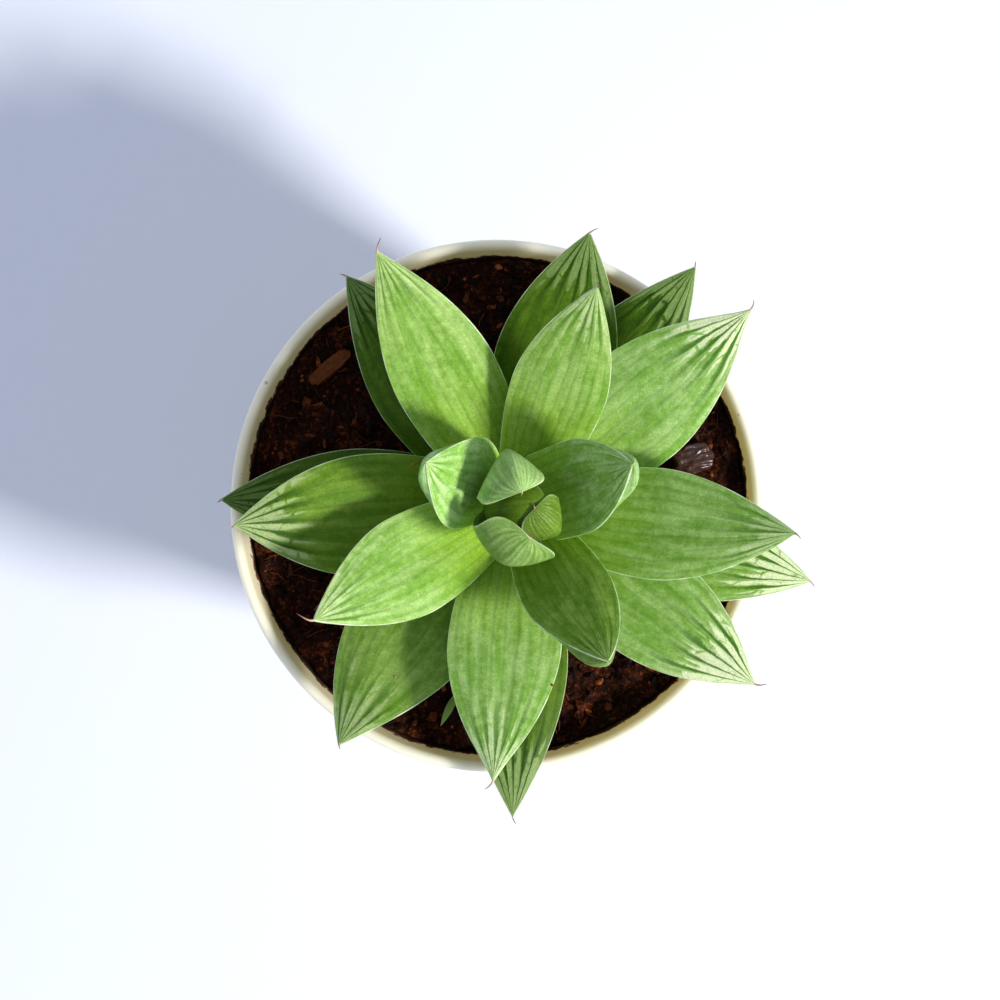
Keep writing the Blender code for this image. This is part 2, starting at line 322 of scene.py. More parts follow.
def fill_inputs(node: bpy.types.Node, inputs: Inputs) -> None:
    """Link or set the inputs of a shader node.

    Args:
        node: The node.
        inputs: Sockets to link, values or sRGB hex colours to set, by name or in order.
    """
    for key, value in enumerate(inputs) if isinstance(inputs, list) else inputs.items():
        if isinstance(value, bpy.types.NodeSocket):
            node.id_data.links.new(value, node.inputs[key])
        else:
            node.inputs[key].default_value = linear(value) if isinstance(value, str) else value


def add_node(
    tree: bpy.types.NodeTree,
    kind: str,
    inputs: Inputs | None = None,
    out: str = "",
    stops: tuple[tuple[float, str], ...] = (),
    **settings: object,
) -> bpy.types.NodeSocket:
    """Add one shader node with its settings and links.

    Args:
        tree: The node tree.
        kind: Blender's name for the node type, after the words ShaderNode.
        inputs: Sockets to link, values or sRGB hex colours to set, by name or in order.
        out: The output that is wanted, the first one in use unless given.
        stops: Positions and sRGB hex colours, for a colour ramp.
        settings: Properties of the node.

    Returns:
        That output.
    """
    node = tree.nodes.new("ShaderNode" + kind)
    for key, value in settings.items():
        setattr(node, key, value)
    fill_inputs(node, inputs or {})
    if stops:
        ramp = node.color_ramp
        while len(ramp.elements) < len(stops):
            ramp.elements.new(0.5)
        for element, (position, code) in zip(ramp.elements, stops):
            element.position = position
            element.color = linear(code)
    return node.outputs[out] if out else next(socket for socket in node.outputs if socket.enabled)


def new_material(name: str) -> tuple[bpy.types.Material, bpy.types.Node, AddNode]:
    """Make an empty node material.

    Args:
        name: Its name.

    Returns:
        The material, its Principled shader, and add_node for its node tree.
    """
    material = bpy.data.materials.new(name)
    material.use_nodes = True
    tree = material.node_tree
    return material, tree.nodes["Principled BSDF"], partial(add_node, tree)


# ---------------------------------------------------------------- finishes


class LeafSide(Enum):
    """Which surface of a leaf a tissue covers."""

    FACE = "face"
    KEEL = "keel"


@dataclass(frozen=True)
class LeafTissue:
    """Living succulent leaf skin: waxy, a little translucent, with clear windows between its veins.

    The skin scatters light under a thin wax, so the eye sees a soft green depth, fine darker veins along
    the leaf and paler glassy cells where the green layer stops short of the tip.
    """

    side: LeafSide
    body: str = "78AC40"          # the green layer
    light: str = "A5CE76"         # the green layer where it is thin or dusty with wax, and where it carries a painted sheen
    painted_sheen: str = "A9D27A"         # broad whitish patches of painted sheen, standing in for highlights
    painted_sheen_mm: float = 13.0
    deep: str = "2F660F"          # the veins in the windows
    foot: str = "8EBF2E"          # yellow-green near the stem
    window: str = "DDE9BA"        # clear tissue
    dark_and_shaded_window: str = "748F4E"    # the same on the darkest leaf, over dark tissue and painted shade
    dark_and_shaded_scale: Triple = (0.18, 0.23, 0.03)      # what the darkest leaf's colours are multiplied by, its own dark green deepened by painted shade
    bright: Triple = (1.30, 1.19, 1.70)   # and the lightest leaf's, its extra blue a painted whitish sheen
    sheen_blue_power: float = 1.7        # power of the tone that blue follows, so that the painted sheen stays on light leaves and dark leaves stay olive
    veins: float = 4.6            # fine vein lines on each half of the leaf
    tip_veins: float = 2.9        # the stronger ones that are left on each half between the windows
    window_start: float = 0.70    # part of the length where the windows begin to open
    window_full: float = 0.87     # and where only thin veins are left between them
    vein_depth: float = 0.24      # how dark the veins are in the green layer
    vein_least: float = 0.50      # how strong the tip's veins are on a leaf without windows
    green_least: float = 0.09     # half the width of green left round a vein at the tip
    roughness: float = 0.50
    speckle_mm: float = 0.30      # cell groups; real ones are half this, too fine to show
    mottle_mm: float = 1.3
    streaks: Triple = (5.0, 4.5, 37.0)  # how often they repeat across, along and from leaf to leaf
    cell_mm: float = 6.0          # length of the vein net's cells, which are as wide as veins are apart
    leaf_mm: float = 45.0         # usual length of a leaf

    def build(self) -> bpy.types.Material:
        """Make the material.

        Returns:
            The material, which reads the numbers across, along, tone and clear on the mesh.
        """
        material, shader, add = new_material("living leaf tissue, " + self.side.value)
        place = add("TexCoord", out="Object")
        across, along, tone, clear = (
            add("Attribute", out="Fac", attribute_name=label)
            for label in ("across", "along", "tone", "clear")
        )

        # noise drawn out along the leaf, different on each leaf
        side, run, drift = (
            add("Math", [number, often], operation="MULTIPLY")
            for number, often in zip((across, along, tone), self.streaks)
        )
        streak_place = add("CombineXYZ", [side, run, drift])
        streak = add("TexNoise", {"Vector": streak_place, "Scale": 1.0, "Detail": 4.0})
        mottle = add(
            "TexNoise",
            {"Vector": place, "Scale": pattern_scale(self.mottle_mm), "Detail": 4.0, "Roughness": 0.6},
        )
        speckle = add(
            "TexNoise",
            {"Vector": place, "Scale": pattern_scale(self.speckle_mm), "Detail": 2.0, "Roughness": 0.7},
        )

        # distance to the nearest vein, 0 on it and 0.5 midway to the next
        jitter = add("Math", [mottle, 0.3, streak], operation="MULTIPLY_ADD")
        jitter = add("Math", [jitter, 0.15], operation="SUBTRACT")
        wander = add("MapRange", [jitter, 0.3, 0.7, -0.16, 0.16])
        line = add("Math", [across, self.veins, wander], operation="MULTIPLY_ADD")
        off_vein = add("Math", [line, 0.5], operation="PINGPONG")
        strong = add("Math", [across, self.tip_veins, wander], operation="MULTIPLY_ADD")
        off_strong = add("Math", [strong, 0.5], operation="PINGPONG")

        # the net that links the veins: long cells, as wide as the veins are apart
        cells_run = add("Math", [along, self.leaf_mm / self.cell_mm], operation="MULTIPLY")
        net_place = add("CombineXYZ", [strong, cells_run, drift])
        off_net = add(
            "TexVoronoi", {"Vector": net_place, "Scale": 1.0, "Randomness": 0.8},
            feature="DISTANCE_TO_EDGE",
        )
        off_net = add("Math", [off_net, 6.0, 0.06], operation="MULTIPLY_ADD")
        off_line = add("Math", [off_strong, off_net, 0.06], operation="SMOOTH_MIN")

        # windows: the green round each vein narrows towards the tip, unevenly
        ragged = add("Math", [streak, 0.36, -0.18], operation="MULTIPLY_ADD")
        sooner = add("MapRange", [clear, 0.2, 1.0, -0.05, 0.015])
        reach = add("Math", [along, ragged], operation="ADD")
        reach = add("Math", [reach, sooner], operation="ADD")
        green_half = add("MapRange", [reach, self.window_start, self.window_full, 0.54, self.green_least])
        gap = add("Math", [off_line, green_half], operation="SUBTRACT")
        fingers = add("MapRange", [gap, -0.07, 0.13], **EASED)

        # the strips beside the margins clear sooner and have few veins
        flank = add("Math", [across], operation="ABSOLUTE")
        beside = add("MapRange", [flank, 0.74, 0.98], **EASED)
        open_flank = add("MapRange", [reach, 0.62, 0.95, 0.0, 0.6], **EASED)
        flank_clear = add("Math", [beside, open_flank], operation="MULTIPLY")
        clear_all = add("Math", [fingers, flank_clear], operation="MAXIMUM")
        clear_part = add("Math", [clear_all, clear], operation="MULTIPLY")

        # the green layer: soft whitish streaks, partly wax dust and partly painted sheen, yellower at the
        # foot, with fine veins
        dusty = add("Math", [mottle, 0.5, streak], operation="MULTIPLY_ADD")
        wax_and_sheen = add("MapRange", [dusty, 0.55, 1.0], **EASED)
        green = add("Mix", {"Factor": wax_and_sheen, "A": self.body, "B": self.light}, data_type="RGBA")
        # painted sheen: broad whitish patches that stand in for highlights on the leaf's curves
        sheen_patch = add(
            "TexNoise",
            {"Vector": place, "Scale": pattern_scale(self.painted_sheen_mm), "Detail": 2.0, "Roughness": 0.45},
        )
        sheen_patch = add("Math", [streak, 0.4, sheen_patch], operation="MULTIPLY_ADD")
        sheen_part = add("MapRange", [sheen_patch, 0.66, 0.92, 0.0, 0.45], **EASED)
        green = add("Mix", {"Factor": sheen_part, "A": green, "B": self.painted_sheen}, data_type="RGBA")
        foot_part = add("MapRange", [along, 0.55, 0.10, 0.0, 0.8], **EASED)
        green = add("Mix", {"Factor": foot_part, "A": green, "B": self.foot}, data_type="RGBA")
        near_vein = add("MapRange", [off_vein, 0.24, 0.02, 0.0, self.vein_depth], **EASED)
        broken = add("MapRange", [speckle, 0.35, 0.60, 0.45, 1.0])
        near_vein = add("Math", [near_vein, broken], operation="MULTIPLY")
        near_line = add("MapRange", [off_strong, 0.26, 0.08, 0.0, 1.0], **EASED)
        toward_tip = add("MapRange", [reach, 0.58, 0.84, 0.0, 1.0], **EASED)
        vein_strength = add("MapRange", [clear, 0.0, 0.8, self.vein_least, 0.85])
        tip_vein = add("Math", [near_line, toward_tip], operation="MULTIPLY")
        tip_vein = add("Math", [tip_vein, vein_strength], operation="MULTIPLY")
        vein_part = add("Math", [near_vein, tip_vein], operation="MAXIMUM", use_clamp=True)
        green = add("Mix", {"Factor": vein_part, "A": green, "B": self.deep}, data_type="RGBA")
        # leaf colour between the darkest and lightest multipliers by its tone: its own shade plus painted
        # shade where leaves shadow it; blue comes in only on light leaves, as a painted whitish sheen
        sheen_blue = add("Math", [tone, self.sheen_blue_power], operation="POWER")
        spread = add("CombineXYZ", [tone, tone, sheen_blue])
        span = tuple(high - low for low, high in zip(self.dark_and_shaded_scale, self.bright))
        own = add("VectorMath", [spread, span, self.dark_and_shaded_scale], operation="MULTIPLY_ADD")
        green = add("VectorMath", [green, own], operation="MULTIPLY")
        # the windows darken with the tone too, partly as painted shade
        glassy = add("MapRange", [tone, 0.0, 0.7, 0.0, 1.0])
        glass = add("Mix", {"Factor": glassy, "A": self.dark_and_shaded_window, "B": self.window}, data_type="RGBA")
        tissue = add("Mix", {"Factor": clear_part, "A": green, "B": glass}, data_type="RGBA")

        # light and dark cell groups and blotches
        cells = add("MapRange", [speckle, 0.3, 0.7, 0.80, 1.20])
        blotches = add("MapRange", [mottle, 0.34, 0.66, 0.93, 1.05])
        level = add("Math", [cells, blotches], operation="MULTIPLY")
        colour = add("VectorMath", {0: tissue, "Scale": level}, operation="SCALE")

        # veins sink a little and cell groups stand up
        sunk = add("MapRange", [off_vein, 0.0, 0.3], **EASED)
        relief = add("Math", [speckle, 0.8, sunk], operation="MULTIPLY_ADD")
        bump = add("Bump", {"Height": relief, "Strength": 0.30, "Distance": 0.10 * MM})
        rough = add("MapRange", [mottle, 0.3, 0.7, self.roughness - 0.07, self.roughness + 0.07])
        fill_inputs(shader, {
            "Base Color": colour, "Roughness": rough, "Normal": bump, "IOR": 1.42,
            "Subsurface Weight": 0.22, "Subsurface Radius": (0.45, 1.0, 0.18), "Subsurface Scale": 1.6 * MM,
            "Specular IOR Level": 0.12, "Coat Weight": 0.06, "Coat Roughness": 0.42,
        })
        return material


@dataclass(frozen=True)
class MarginTissue:
    """The hard rim of the leaf: clear cells with no green, so it shows as a bright glassy line."""

    pale: str = "D8E6C2"
    green: str = "8FB25E"

    def build(self) -> bpy.types.Material:
        """Make the material, which reads the number tone on the mesh."""
        material, shader, add = new_material("clear leaf margin")
        place = add("TexCoord", out="Object")
        patches = add("TexNoise", {"Vector": place, "Scale": pattern_scale(3.0), "Detail": 3.0})
        colour = add("ValToRGB", [patches], stops=((0.36, self.green), (0.62, self.pale)))
        # the margin darkens with its leaf's tone: partly its own shade, partly painted shade
        tone = add("Attribute", out="Fac", attribute_name="tone")
        own = add("MapRange", [tone, 0.0, 1.0, 0.65, 1.05])
        colour = add("VectorMath", {0: colour, "Scale": own}, operation="SCALE")
        fill_inputs(shader, {
            "Base Color": colour, "Roughness": 0.32, "Subsurface Weight": 0.35,
            "Subsurface Radius": (0.8, 1.0, 0.5), "Subsurface Scale": 1.0 * MM,
        })
        return material


@dataclass(frozen=True)
class DryBristle:
    """Dead bristle at a leaf's tip: papery, pinkish brown, darker at its end."""

    light: str = "C9A48F"
    dark: str = "6E4236"

    def build(self) -> bpy.types.Material:
        """Make the material, which reads the number along on the mesh."""
        material, shader, add = new_material("dry leaf bristle")
        along = add("Attribute", out="Fac", attribute_name="along")
        colour = add("ValToRGB", [along], stops=((0.0, "C6C79A"), (0.25, self.light), (0.9, self.dark)))
        fill_inputs(shader, {
            "Base Color": colour, "Roughness": 0.6, "Subsurface Weight": 0.1, "Subsurface Scale": 0.5 * MM,
        })
        return material


@dataclass(frozen=True)
class IvoryPolypropylene:
    """Injection-moulded polypropylene in ivory: satin, thin enough to glow warm, peat-stained inside."""

    base: str = "FCF0DC"
    warm: str = "FAE6C6"
    wall: str = "FBE8C8"          # the inside: a warmer tint, painted glow of light that has crossed the wall
    stain: str = "1C0D06"
    rust: str = "6A3616"
    flow_mm: float = 14.0         # clouds of the melt's flow
    smear_mm: float = 2.6         # smears of peat
    speck_mm: float = 3.4         # spacing of the dust on the lip
    lip: Pair = (79.8, 78.4)     # heights between which the rim turns into the inner wall and its painted glow begins
    stains: Pair = (78.5, 73.5)  # between which the peat's stains end
    dusty: Pair = (76.0, 78.5)   # and the dust begins
    glow: Pair = (70.0, 74.0)    # and the plastic starts to glow
    glow_mm: Pair = (1.5, 4.0)   # how far light runs in it below and above that

    def build(self) -> bpy.types.Material:
        """Make the material, which reads the number inside on the mesh."""
        material, shader, add = new_material("ivory polypropylene")
        lip, stains, dusty, glow, glow_scale = (
            (low * MM, high * MM)
            for low, high in (self.lip, self.stains, self.dusty, self.glow, self.glow_mm)
        )
        place = add("TexCoord", out="Object")
        inside = add("Attribute", out="Fac", attribute_name="inside")
        height = add("SeparateXYZ", [place], out="Z")
        flow = add("TexNoise", {"Vector": place, "Scale": pattern_scale(self.flow_mm), "Detail": 3.0})
        smear = add(
            "TexNoise",
            {"Vector": place, "Scale": pattern_scale(self.smear_mm), "Detail": 5.0, "Roughness": 0.65},
        )
        specks = add("TexVoronoi", {"Vector": place, "Scale": pattern_scale(self.speck_mm)}, feature="F1")
        plastic = add("Mix", {"Factor": flow, "A": self.base, "B": self.warm}, data_type="RGBA")

        # painted glow: the inside turns warmer below the lip, standing in for light that has crossed the
        # wall
        inner_glow = add("MapRange", [height, *lip, 0.0, 0.9], **EASED)
        inner_glow = add("Math", [inner_glow, inside], operation="MULTIPLY")
        plastic = add("Mix", {"Factor": inner_glow, "A": plastic, "B": self.wall}, data_type="RGBA")

        # peat sticks to the wall up to a ragged line, with a thin rusty wash at its edge
        below = add("MapRange", [height, *stains, -0.5, 0.5])
        patchy = add("Math", [smear, 1.1, below], operation="MULTIPLY_ADD")
        washed = add("MapRange", [patchy, 0.50, 0.57], **EASED)
        washed = add("Math", [washed, inside], operation="MULTIPLY")
        film = add("MapRange", [patchy, 0.58, 0.85], **EASED)
        peat = add("Mix", {"Factor": film, "A": self.rust, "B": self.stain}, data_type="RGBA")

        # stray peat dust on the lip
        dust = add("MapRange", [specks, 0.12, 0.05, 0.0, 0.8], **EASED)
        sparse = add("MapRange", [smear, 0.52, 0.60, 0.0, 1.0])
        dust = add("Math", [dust, sparse], operation="MULTIPLY")
        at_lip = add("MapRange", [height, *dusty, 0.0, 1.0])
        dust = add("Math", [dust, at_lip], operation="MULTIPLY")
        dirt = add("Math", [washed, dust], operation="MAXIMUM")
        colour = add("Mix", {"Factor": dirt, "A": plastic, "B": peat}, data_type="RGBA")
        rough = add("MapRange", [dirt, 0.0, 1.0, 0.30, 0.75])
        bump = add("Bump", {"Height": smear, "Strength": 0.10, "Distance": 0.15 * MM})
        fill_inputs(shader, {
            "Base Color": colour, "Roughness": rough, "Normal": bump, "IOR": 1.49, "Subsurface Weight": 0.9,
            "Subsurface Radius": (1.0, 0.86, 0.72), "Subsurface Scale": glow_scale[0],
        })
        # light runs far in the lip, which air surrounds, and soon ends in the wall against the dark peat
        reach = add("MapRange", [height, *glow, *glow_scale], **EASED)
        fill_inputs(shader, {"Subsurface Scale": reach})
        return material


@dataclass(frozen=True)
class CocoPeat:
    """Damp ground coconut husk: matt, near black to red-brown, its colour painted darker in the hollows and
    lighter on the raised grains as painted shade and light.
    """

    name: str = "damp coco-peat"
    dark: str = "0B0504"
    middle: str = "2C1309"
    red: str = "7C3C1A"
    grain_mm: float = 0.8
    roughness: float = 0.95
    bump_mm: float = 0.40

    def build(self) -> bpy.types.Material:
        """Make the material."""
        material, shader, add = new_material(self.name)
        place = add("TexCoord", out="Object")
        clods = add(
            "TexNoise",
            {"Vector": place, "Scale": pattern_scale(5.0 * self.grain_mm), "Detail": 4.0, "Roughness": 0.6},
        )
        grains = add(
            "TexNoise",
            {"Vector": place, "Scale": pattern_scale(self.grain_mm), "Detail": 5.0, "Roughness": 0.75},
        )
        # colour rises with the grains' height: painted shade in the hollows, painted light on the raised
        # grains, over the husk's own dark and red-brown
        both = add("Math", [clods, 0.5, grains], operation="MULTIPLY_ADD")
        colour = add("ValToRGB", [both], stops=((0.60, self.dark), (0.80, self.middle), (1.0, self.red)))
        bump = add("Bump", {"Height": grains, "Strength": 0.8, "Distance": self.bump_mm * MM})
        fill_inputs(shader, {
            "Base Color": colour, "Normal": bump, "Roughness": self.roughness, "Specular IOR Level": 0.08,
        })
        return material


@dataclass(frozen=True)
class HuskChip:
    """Chips and fibres of bark and coconut husk: each has its own brown and a fine grain."""

    name: str
    stops: tuple[tuple[float, str], ...]
    roughness: float = 0.7
    grain_mm: float = 0.5
    specular: float = 0.12

    def build(self) -> bpy.types.Material:
        """Make the material, which reads the number tone on the mesh."""
        material, shader, add = new_material(self.name)
        place = add("TexCoord", out="Object")
        tone = add("Attribute", out="Fac", attribute_name="tone")
        grain = add(
            "TexNoise",
            {"Vector": place, "Scale": pattern_scale(self.grain_mm), "Detail": 4.0, "Roughness": 0.7},
        )
        mixed = add("Math", [grain, 0.6, -0.3], operation="MULTIPLY_ADD")
        shade = add("Math", [mixed, tone], operation="ADD", use_clamp=True)
        colour = add("ValToRGB", [shade], stops=self.stops)
        bump = add("Bump", {"Height": grain, "Strength": 0.7, "Distance": 0.15 * MM})
        fill_inputs(shader, {
            "Base Color": colour, "Normal": bump, "Roughness": self.roughness,
            "Specular IOR Level": self.specular,
        })
        return material


@dataclass(frozen=True)
class StemTissue:
    """Young stem and roots: pale, matt and corky, ringed with the scars of old leaves."""

    pale: str = "B9BC86"
    corky: str = "7C6A45"
    scar_scale: float = 110.0     # of the wave texture, for rings about 3 mm apart

    def build(self) -> bpy.types.Material:
        """Make the material."""
        material, shader, add = new_material("living stem tissue")
        place = add("TexCoord", out="Object")
        scars = add(
            "TexWave", {"Vector": place, "Scale": self.scar_scale, "Distortion": 3.0, "Detail": 3.0},
            out="Fac", bands_direction="Z",
        )
        colour = add("Mix", {"Factor": scars, "A": self.pale, "B": self.corky}, data_type="RGBA")
        bump = add("Bump", {"Height": scars, "Strength": 0.4, "Distance": 0.2 * MM})
        fill_inputs(shader, {"Base Color": colour, "Normal": bump, "Roughness": 0.7})
        return material


@dataclass(frozen=True)
class SeedlingTissue:
    """A thin young blade: light yellow-green, lengthwise ribbed, lit through."""

    green: str = "A9CB6C"
    rib: str = "86B04C"

    def build(self) -> bpy.types.Material:
        """Make the material, which reads the number across on the mesh."""
        material, shader, add = new_material("seedling blade tissue")
        across = add("Attribute", out="Fac", attribute_name="across")
        rib = add("Math", [across, 0.22], operation="PINGPONG")
        part = add("MapRange", [rib, 0.0, 0.22])
        colour = add("Mix", {"Factor": part, "A": self.rib, "B": self.green}, data_type="RGBA")
        bump = add("Bump", {"Height": part, "Strength": 0.3, "Distance": 0.08 * MM})
        fill_inputs(shader, {
            "Base Color": colour, "Normal": bump, "Roughness": 0.45, "Subsurface Weight": 0.3,
            "Subsurface Scale": 1.0 * MM,
        })
        return material


@dataclass(frozen=True)
class StudioPaper:
    """Matt white paper sweep."""

    white: str = "DFE6F5"
    tooth_scale: float = 900.0    # tufts of fibre about 1.1 mm wide; real ones are finer, too fine to show

    def build(self) -> bpy.types.Material:
        """Make the material."""
        material, shader, add = new_material("matt white paper")
        place = add("TexCoord", out="Object")
        tooth = add("TexNoise", {"Vector": place, "Scale": self.tooth_scale})
        bump = add("Bump", {"Height": tooth, "Strength": 0.05, "Distance": 0.05 * MM})
        fill_inputs(shader, {"Base Color": self.white, "Normal": bump, "Roughness": 0.9})
        return material


# ---------------------------------------------------------------- the plant


@dataclass(frozen=True)
class Leaf:
    """One leaf, by its measures, with its bristle and its tone, which is partly its own shade and partly
    painted shade.
    """

    order: float            # place in the spiral, counted outward from the bud
    azimuth: float
    length: float
    width: float
    depth: float            # thickness of the keel under the face
    lift_base: float        # angle over the horizontal where it leaves the stem
    lift_tip: float         # the same at its tip
    roll: float = 0.0       # turn of the face about the leaf's own axis, at the tip
    side: float = 0.0       # sideways sweep of the tip
    cup: float = 0.0        # how far the margins curl up, half angle
    fold: float = 0.0       # how far each half is turned up about the middle line, as an angle
    start: float = 4.7      # distance of its base from the stem axis
    crown: float = 0.9      # swelling of the face
    base: float = 0.62      # width at the base, part of the full width
    widest: float = 0.46    # where along the length it is widest
    taper: float = 1.75     # bluntness of the tip
    bend: float = 1.4       # how late along the length it bends
    blunt: float = 1.0      # roundness of the tip, below 1 rounder
    pinch: float = 0.0      # how far the tip is drawn in
    skew: float = 0.0       # how much wider the side at +1 across is than the other, -1 to 1
    ears: float = 0.0       # how far the margins run ahead of the middle near the tip
    belly: float = 0.45     # how far the keel stands out past the margins
    belly_from: float = 0.35  # where along the length it starts to
    lean: float = 0.0       # which side it stands out more on, -1 to 1
    nose: float = 0.3       # how far the keel stands out past the tip
    bristle: float = 1.5    # length of the bristle
    bristle_turn: float = 30.0
    tone: float = 0.5       # 0 dark to 1 light: partly its own shade, partly painted shade, and on light leaves a painted sheen
    clear: float = 0.5      # how clear its windows are

    spiral_top: float = 96.5
    spiral_step: float = 0.9
    margin: float = 0.14    # half the thickness of the hard margin
    rings: int = 92         # rings of points along the leaf
    last_ring: float = 0.996  # where along the length the last one is
    face_points: int = 33   # points across the face, the keel and round each margin
    keel_points: int = 21
    bead_points: int = 4

    def axis(self, s: Array) -> tuple[Array, Array, Array]:
        """The leaf's axis: its lift changes by a power of the length, and steps along it are added up.

        Args:
            s: Places along the leaf, 0 at the stem and 1 at the tip.

        Returns:
            Distance out, height and lift in radians at each place.
        """
        steps = 240
        fine = np.linspace(0.0, 1.0, steps + 1)
        spread = self.lift_tip - self.lift_base
        middle = np.radians(self.lift_base + spread * (fine[:-1] + 0.5 / steps) ** self.bend)
        step = self.length / steps
        out = self.start + np.concatenate([[0.0], np.cumsum(np.cos(middle) * step)])
        height = self.spiral_top - self.spiral_step * self.order
        height = height + np.concatenate([[0.0], np.cumsum(np.sin(middle) * step)])
        lift = np.radians(self.lift_base + spread * s**self.bend)
        return np.interp(s, fine, out), np.interp(s, fine, height), lift

    def frames(self, s: Array) -> tuple[Array, Array, Array, Array]:
        """The axis points, and the directions along, across and up from the face at each.

        Args:
            s: Places along the leaf.

        Returns:
            Points, along, across and up, one row for each place.
        """
        out, height, lift = self.axis(s)
        azimuth = math.radians(self.azimuth)
        radial = np.array([math.cos(azimuth), math.sin(azimuth), 0.0])
        tangential = np.array([-math.sin(azimuth), math.cos(azimuth), 0.0])
        vertical = np.array([0.0, 0.0, 1.0])
        points = (
            np.array([*STEM_CENTRE, 0.0])
            + out[:, None] * radial
            + (self.side * s**2)[:, None] * tangential
            + height[:, None] * vertical
        )
        along = np.cos(lift)[:, None] * radial + np.sin(lift)[:, None] * vertical
        along = unit(along + (2.0 * self.side * s / self.length)[:, None] * tangential)
        across = unit(tangential - along * (along @ tangential)[:, None])
        up = np.cross(along, across)
        roll = np.radians(self.roll) * s
        cos, sin = np.cos(roll)[:, None], np.sin(roll)[:, None]
        return points, along, across * cos + up * sin, up * cos - across * sin

    def past_widest(self, s: Array) -> Array:
        """How far each place is from the widest one to the tip, 0 to 1."""
        return np.clip((s - self.widest) / (1.0 - self.widest), 0.0, 1.0)

    def margin_at(self, half: Array) -> Array:
        """Half the thickness of the margin, which is thinner where the leaf is narrow."""
        return np.minimum(self.margin, 0.35 * half)

    def half_width(self, s: Array) -> Array:
        """Half the width: a quarter sine out to the widest place, then a power curve in to the tip."""
        t = self.past_widest(s)
        rise = self.base + (1.0 - self.base) * np.sin(0.5 * math.pi * np.minimum(s / self.widest, 1.0))
        fall = (1.0 - t**self.taper) ** self.blunt * (1.0 - self.pinch * t**6)
        return 0.5 * self.width * np.where(s < self.widest, rise, fall)

    def surface(self, s: Array, u: Array, under: bool) -> tuple[Array, Array]:
        """Heights of the skin over the axis plane, before the leaf is curled.

        The face swells as 1 - u squared and carries slow waves along it. The keel falls as 1 - |u| to a
        power that sharpens towards the tip, and a sine of u pushes it out past the margins.

        Args:
            s: Places along the leaf, as a column.
            u: Places across it from -1 to 1, as a row.
            under: True for the keel.

        Returns:
            Distance across in millimetres, and height in millimetres, one row for each place along.
        """
        half = self.half_width(s)
        margin = self.margin_at(half)
        t = self.past_widest(s)
        end = 1.0 - t**3
        x = (half * (1.0 + self.skew * np.sign(u)) - margin) * u
        if under:
            depth = self.depth * (0.36 + 0.64 * np.sin(0.5 * math.pi * np.minimum(s / 0.55, 1.0))) * end
            sharp = 2.4 - 0.8 * s
            push = self.belly * (1.0 + self.lean * np.sign(u)) * smooth(self.belly_from, 0.88, s)
            push = push * (1.0 - s**14) * np.sin(math.pi * u)
            return x + push, -depth * (1.0 - np.abs(u) ** sharp) - margin
        crown = self.crown * (0.2 + 0.8 * np.minimum(s / 0.5, 1.0)) * end
        phase = 2.4 * self.order
        waves = 0.16 * np.sin(5.2 * u + phase + 2.0 * s) * np.sin(7.0 * s + phase)
        waves = waves + 0.07 * np.sin(11.0 * u - phase) * np.sin(4.0 * s + 1.7 * phase)
        hollow = -0.35 * np.exp(-((u / 0.45) ** 2)) * smooth(0.0, 0.2, s) * (1.0 - smooth(0.35, 0.75, s))
        return x, (crown + (waves + hollow) * end) * (1.0 - u**2) + margin

    def outline(self, s: Array) -> tuple[Array, Array, NDArray[np.int64]]:
        """One closed ring of skin at every place along the leaf: face, margin, keel, margin.

        Args:
            s: Places along the leaf.

        Returns:
            Across and up in millimetres by ring and place round it, the place across from -1 to 1, and
            which material each step round the ring takes.
        """
        column = s[:, None]
        face_u = -np.cos(np.linspace(0.0, math.pi, self.face_points))[None, :]
        keel_u = np.cos(np.linspace(0.0, math.pi, self.keel_points))[None, :]
        bead = np.radians(np.linspace(66.0, -66.0, self.bead_points))[None, :]
        half = self.half_width(column)
        margin = self.margin_at(half)
        face_x, face_y = self.surface(column, face_u, under=False)
        keel_x, keel_y = self.surface(column, keel_u, under=True)
        bead_x = margin * (np.cos(bead) - 1.0)
        bead_y = margin * np.sin(bead)
        wide, narrow = half * (1.0 + self.skew) + bead_x, half * (1.0 - self.skew) + bead_x
        x = np.hstack([face_x, wide, keel_x, -narrow[:, ::-1]])
        y = np.hstack([face_y, bead_y, keel_y, bead_y[:, ::-1]])
        part = np.concatenate([
            np.zeros(face_u.size - 1), np.ones(bead.size + 1),
            np.full(keel_u.size - 1, 2.0), np.ones(bead.size + 1),
        ]).astype(int)
        ones = np.ones((len(s), bead.size))
        across = np.hstack([face_u + 0.0 * column, ones, keel_u + 0.0 * column, -ones])
        if self.cup > 0.0:
            curl = math.radians(self.cup)
            radius = half / curl
            angle = x / radius
            x, y = (radius - y) * np.sin(angle), radius - (radius - y) * np.cos(angle)
        if self.fold > 0.0:
            turn = math.radians(self.fold)
            x, y = x * math.cos(turn), y + (np.hypot(x, 0.7) - 0.7) * math.sin(turn)
        return np.stack([x, y], axis=-1), across, part

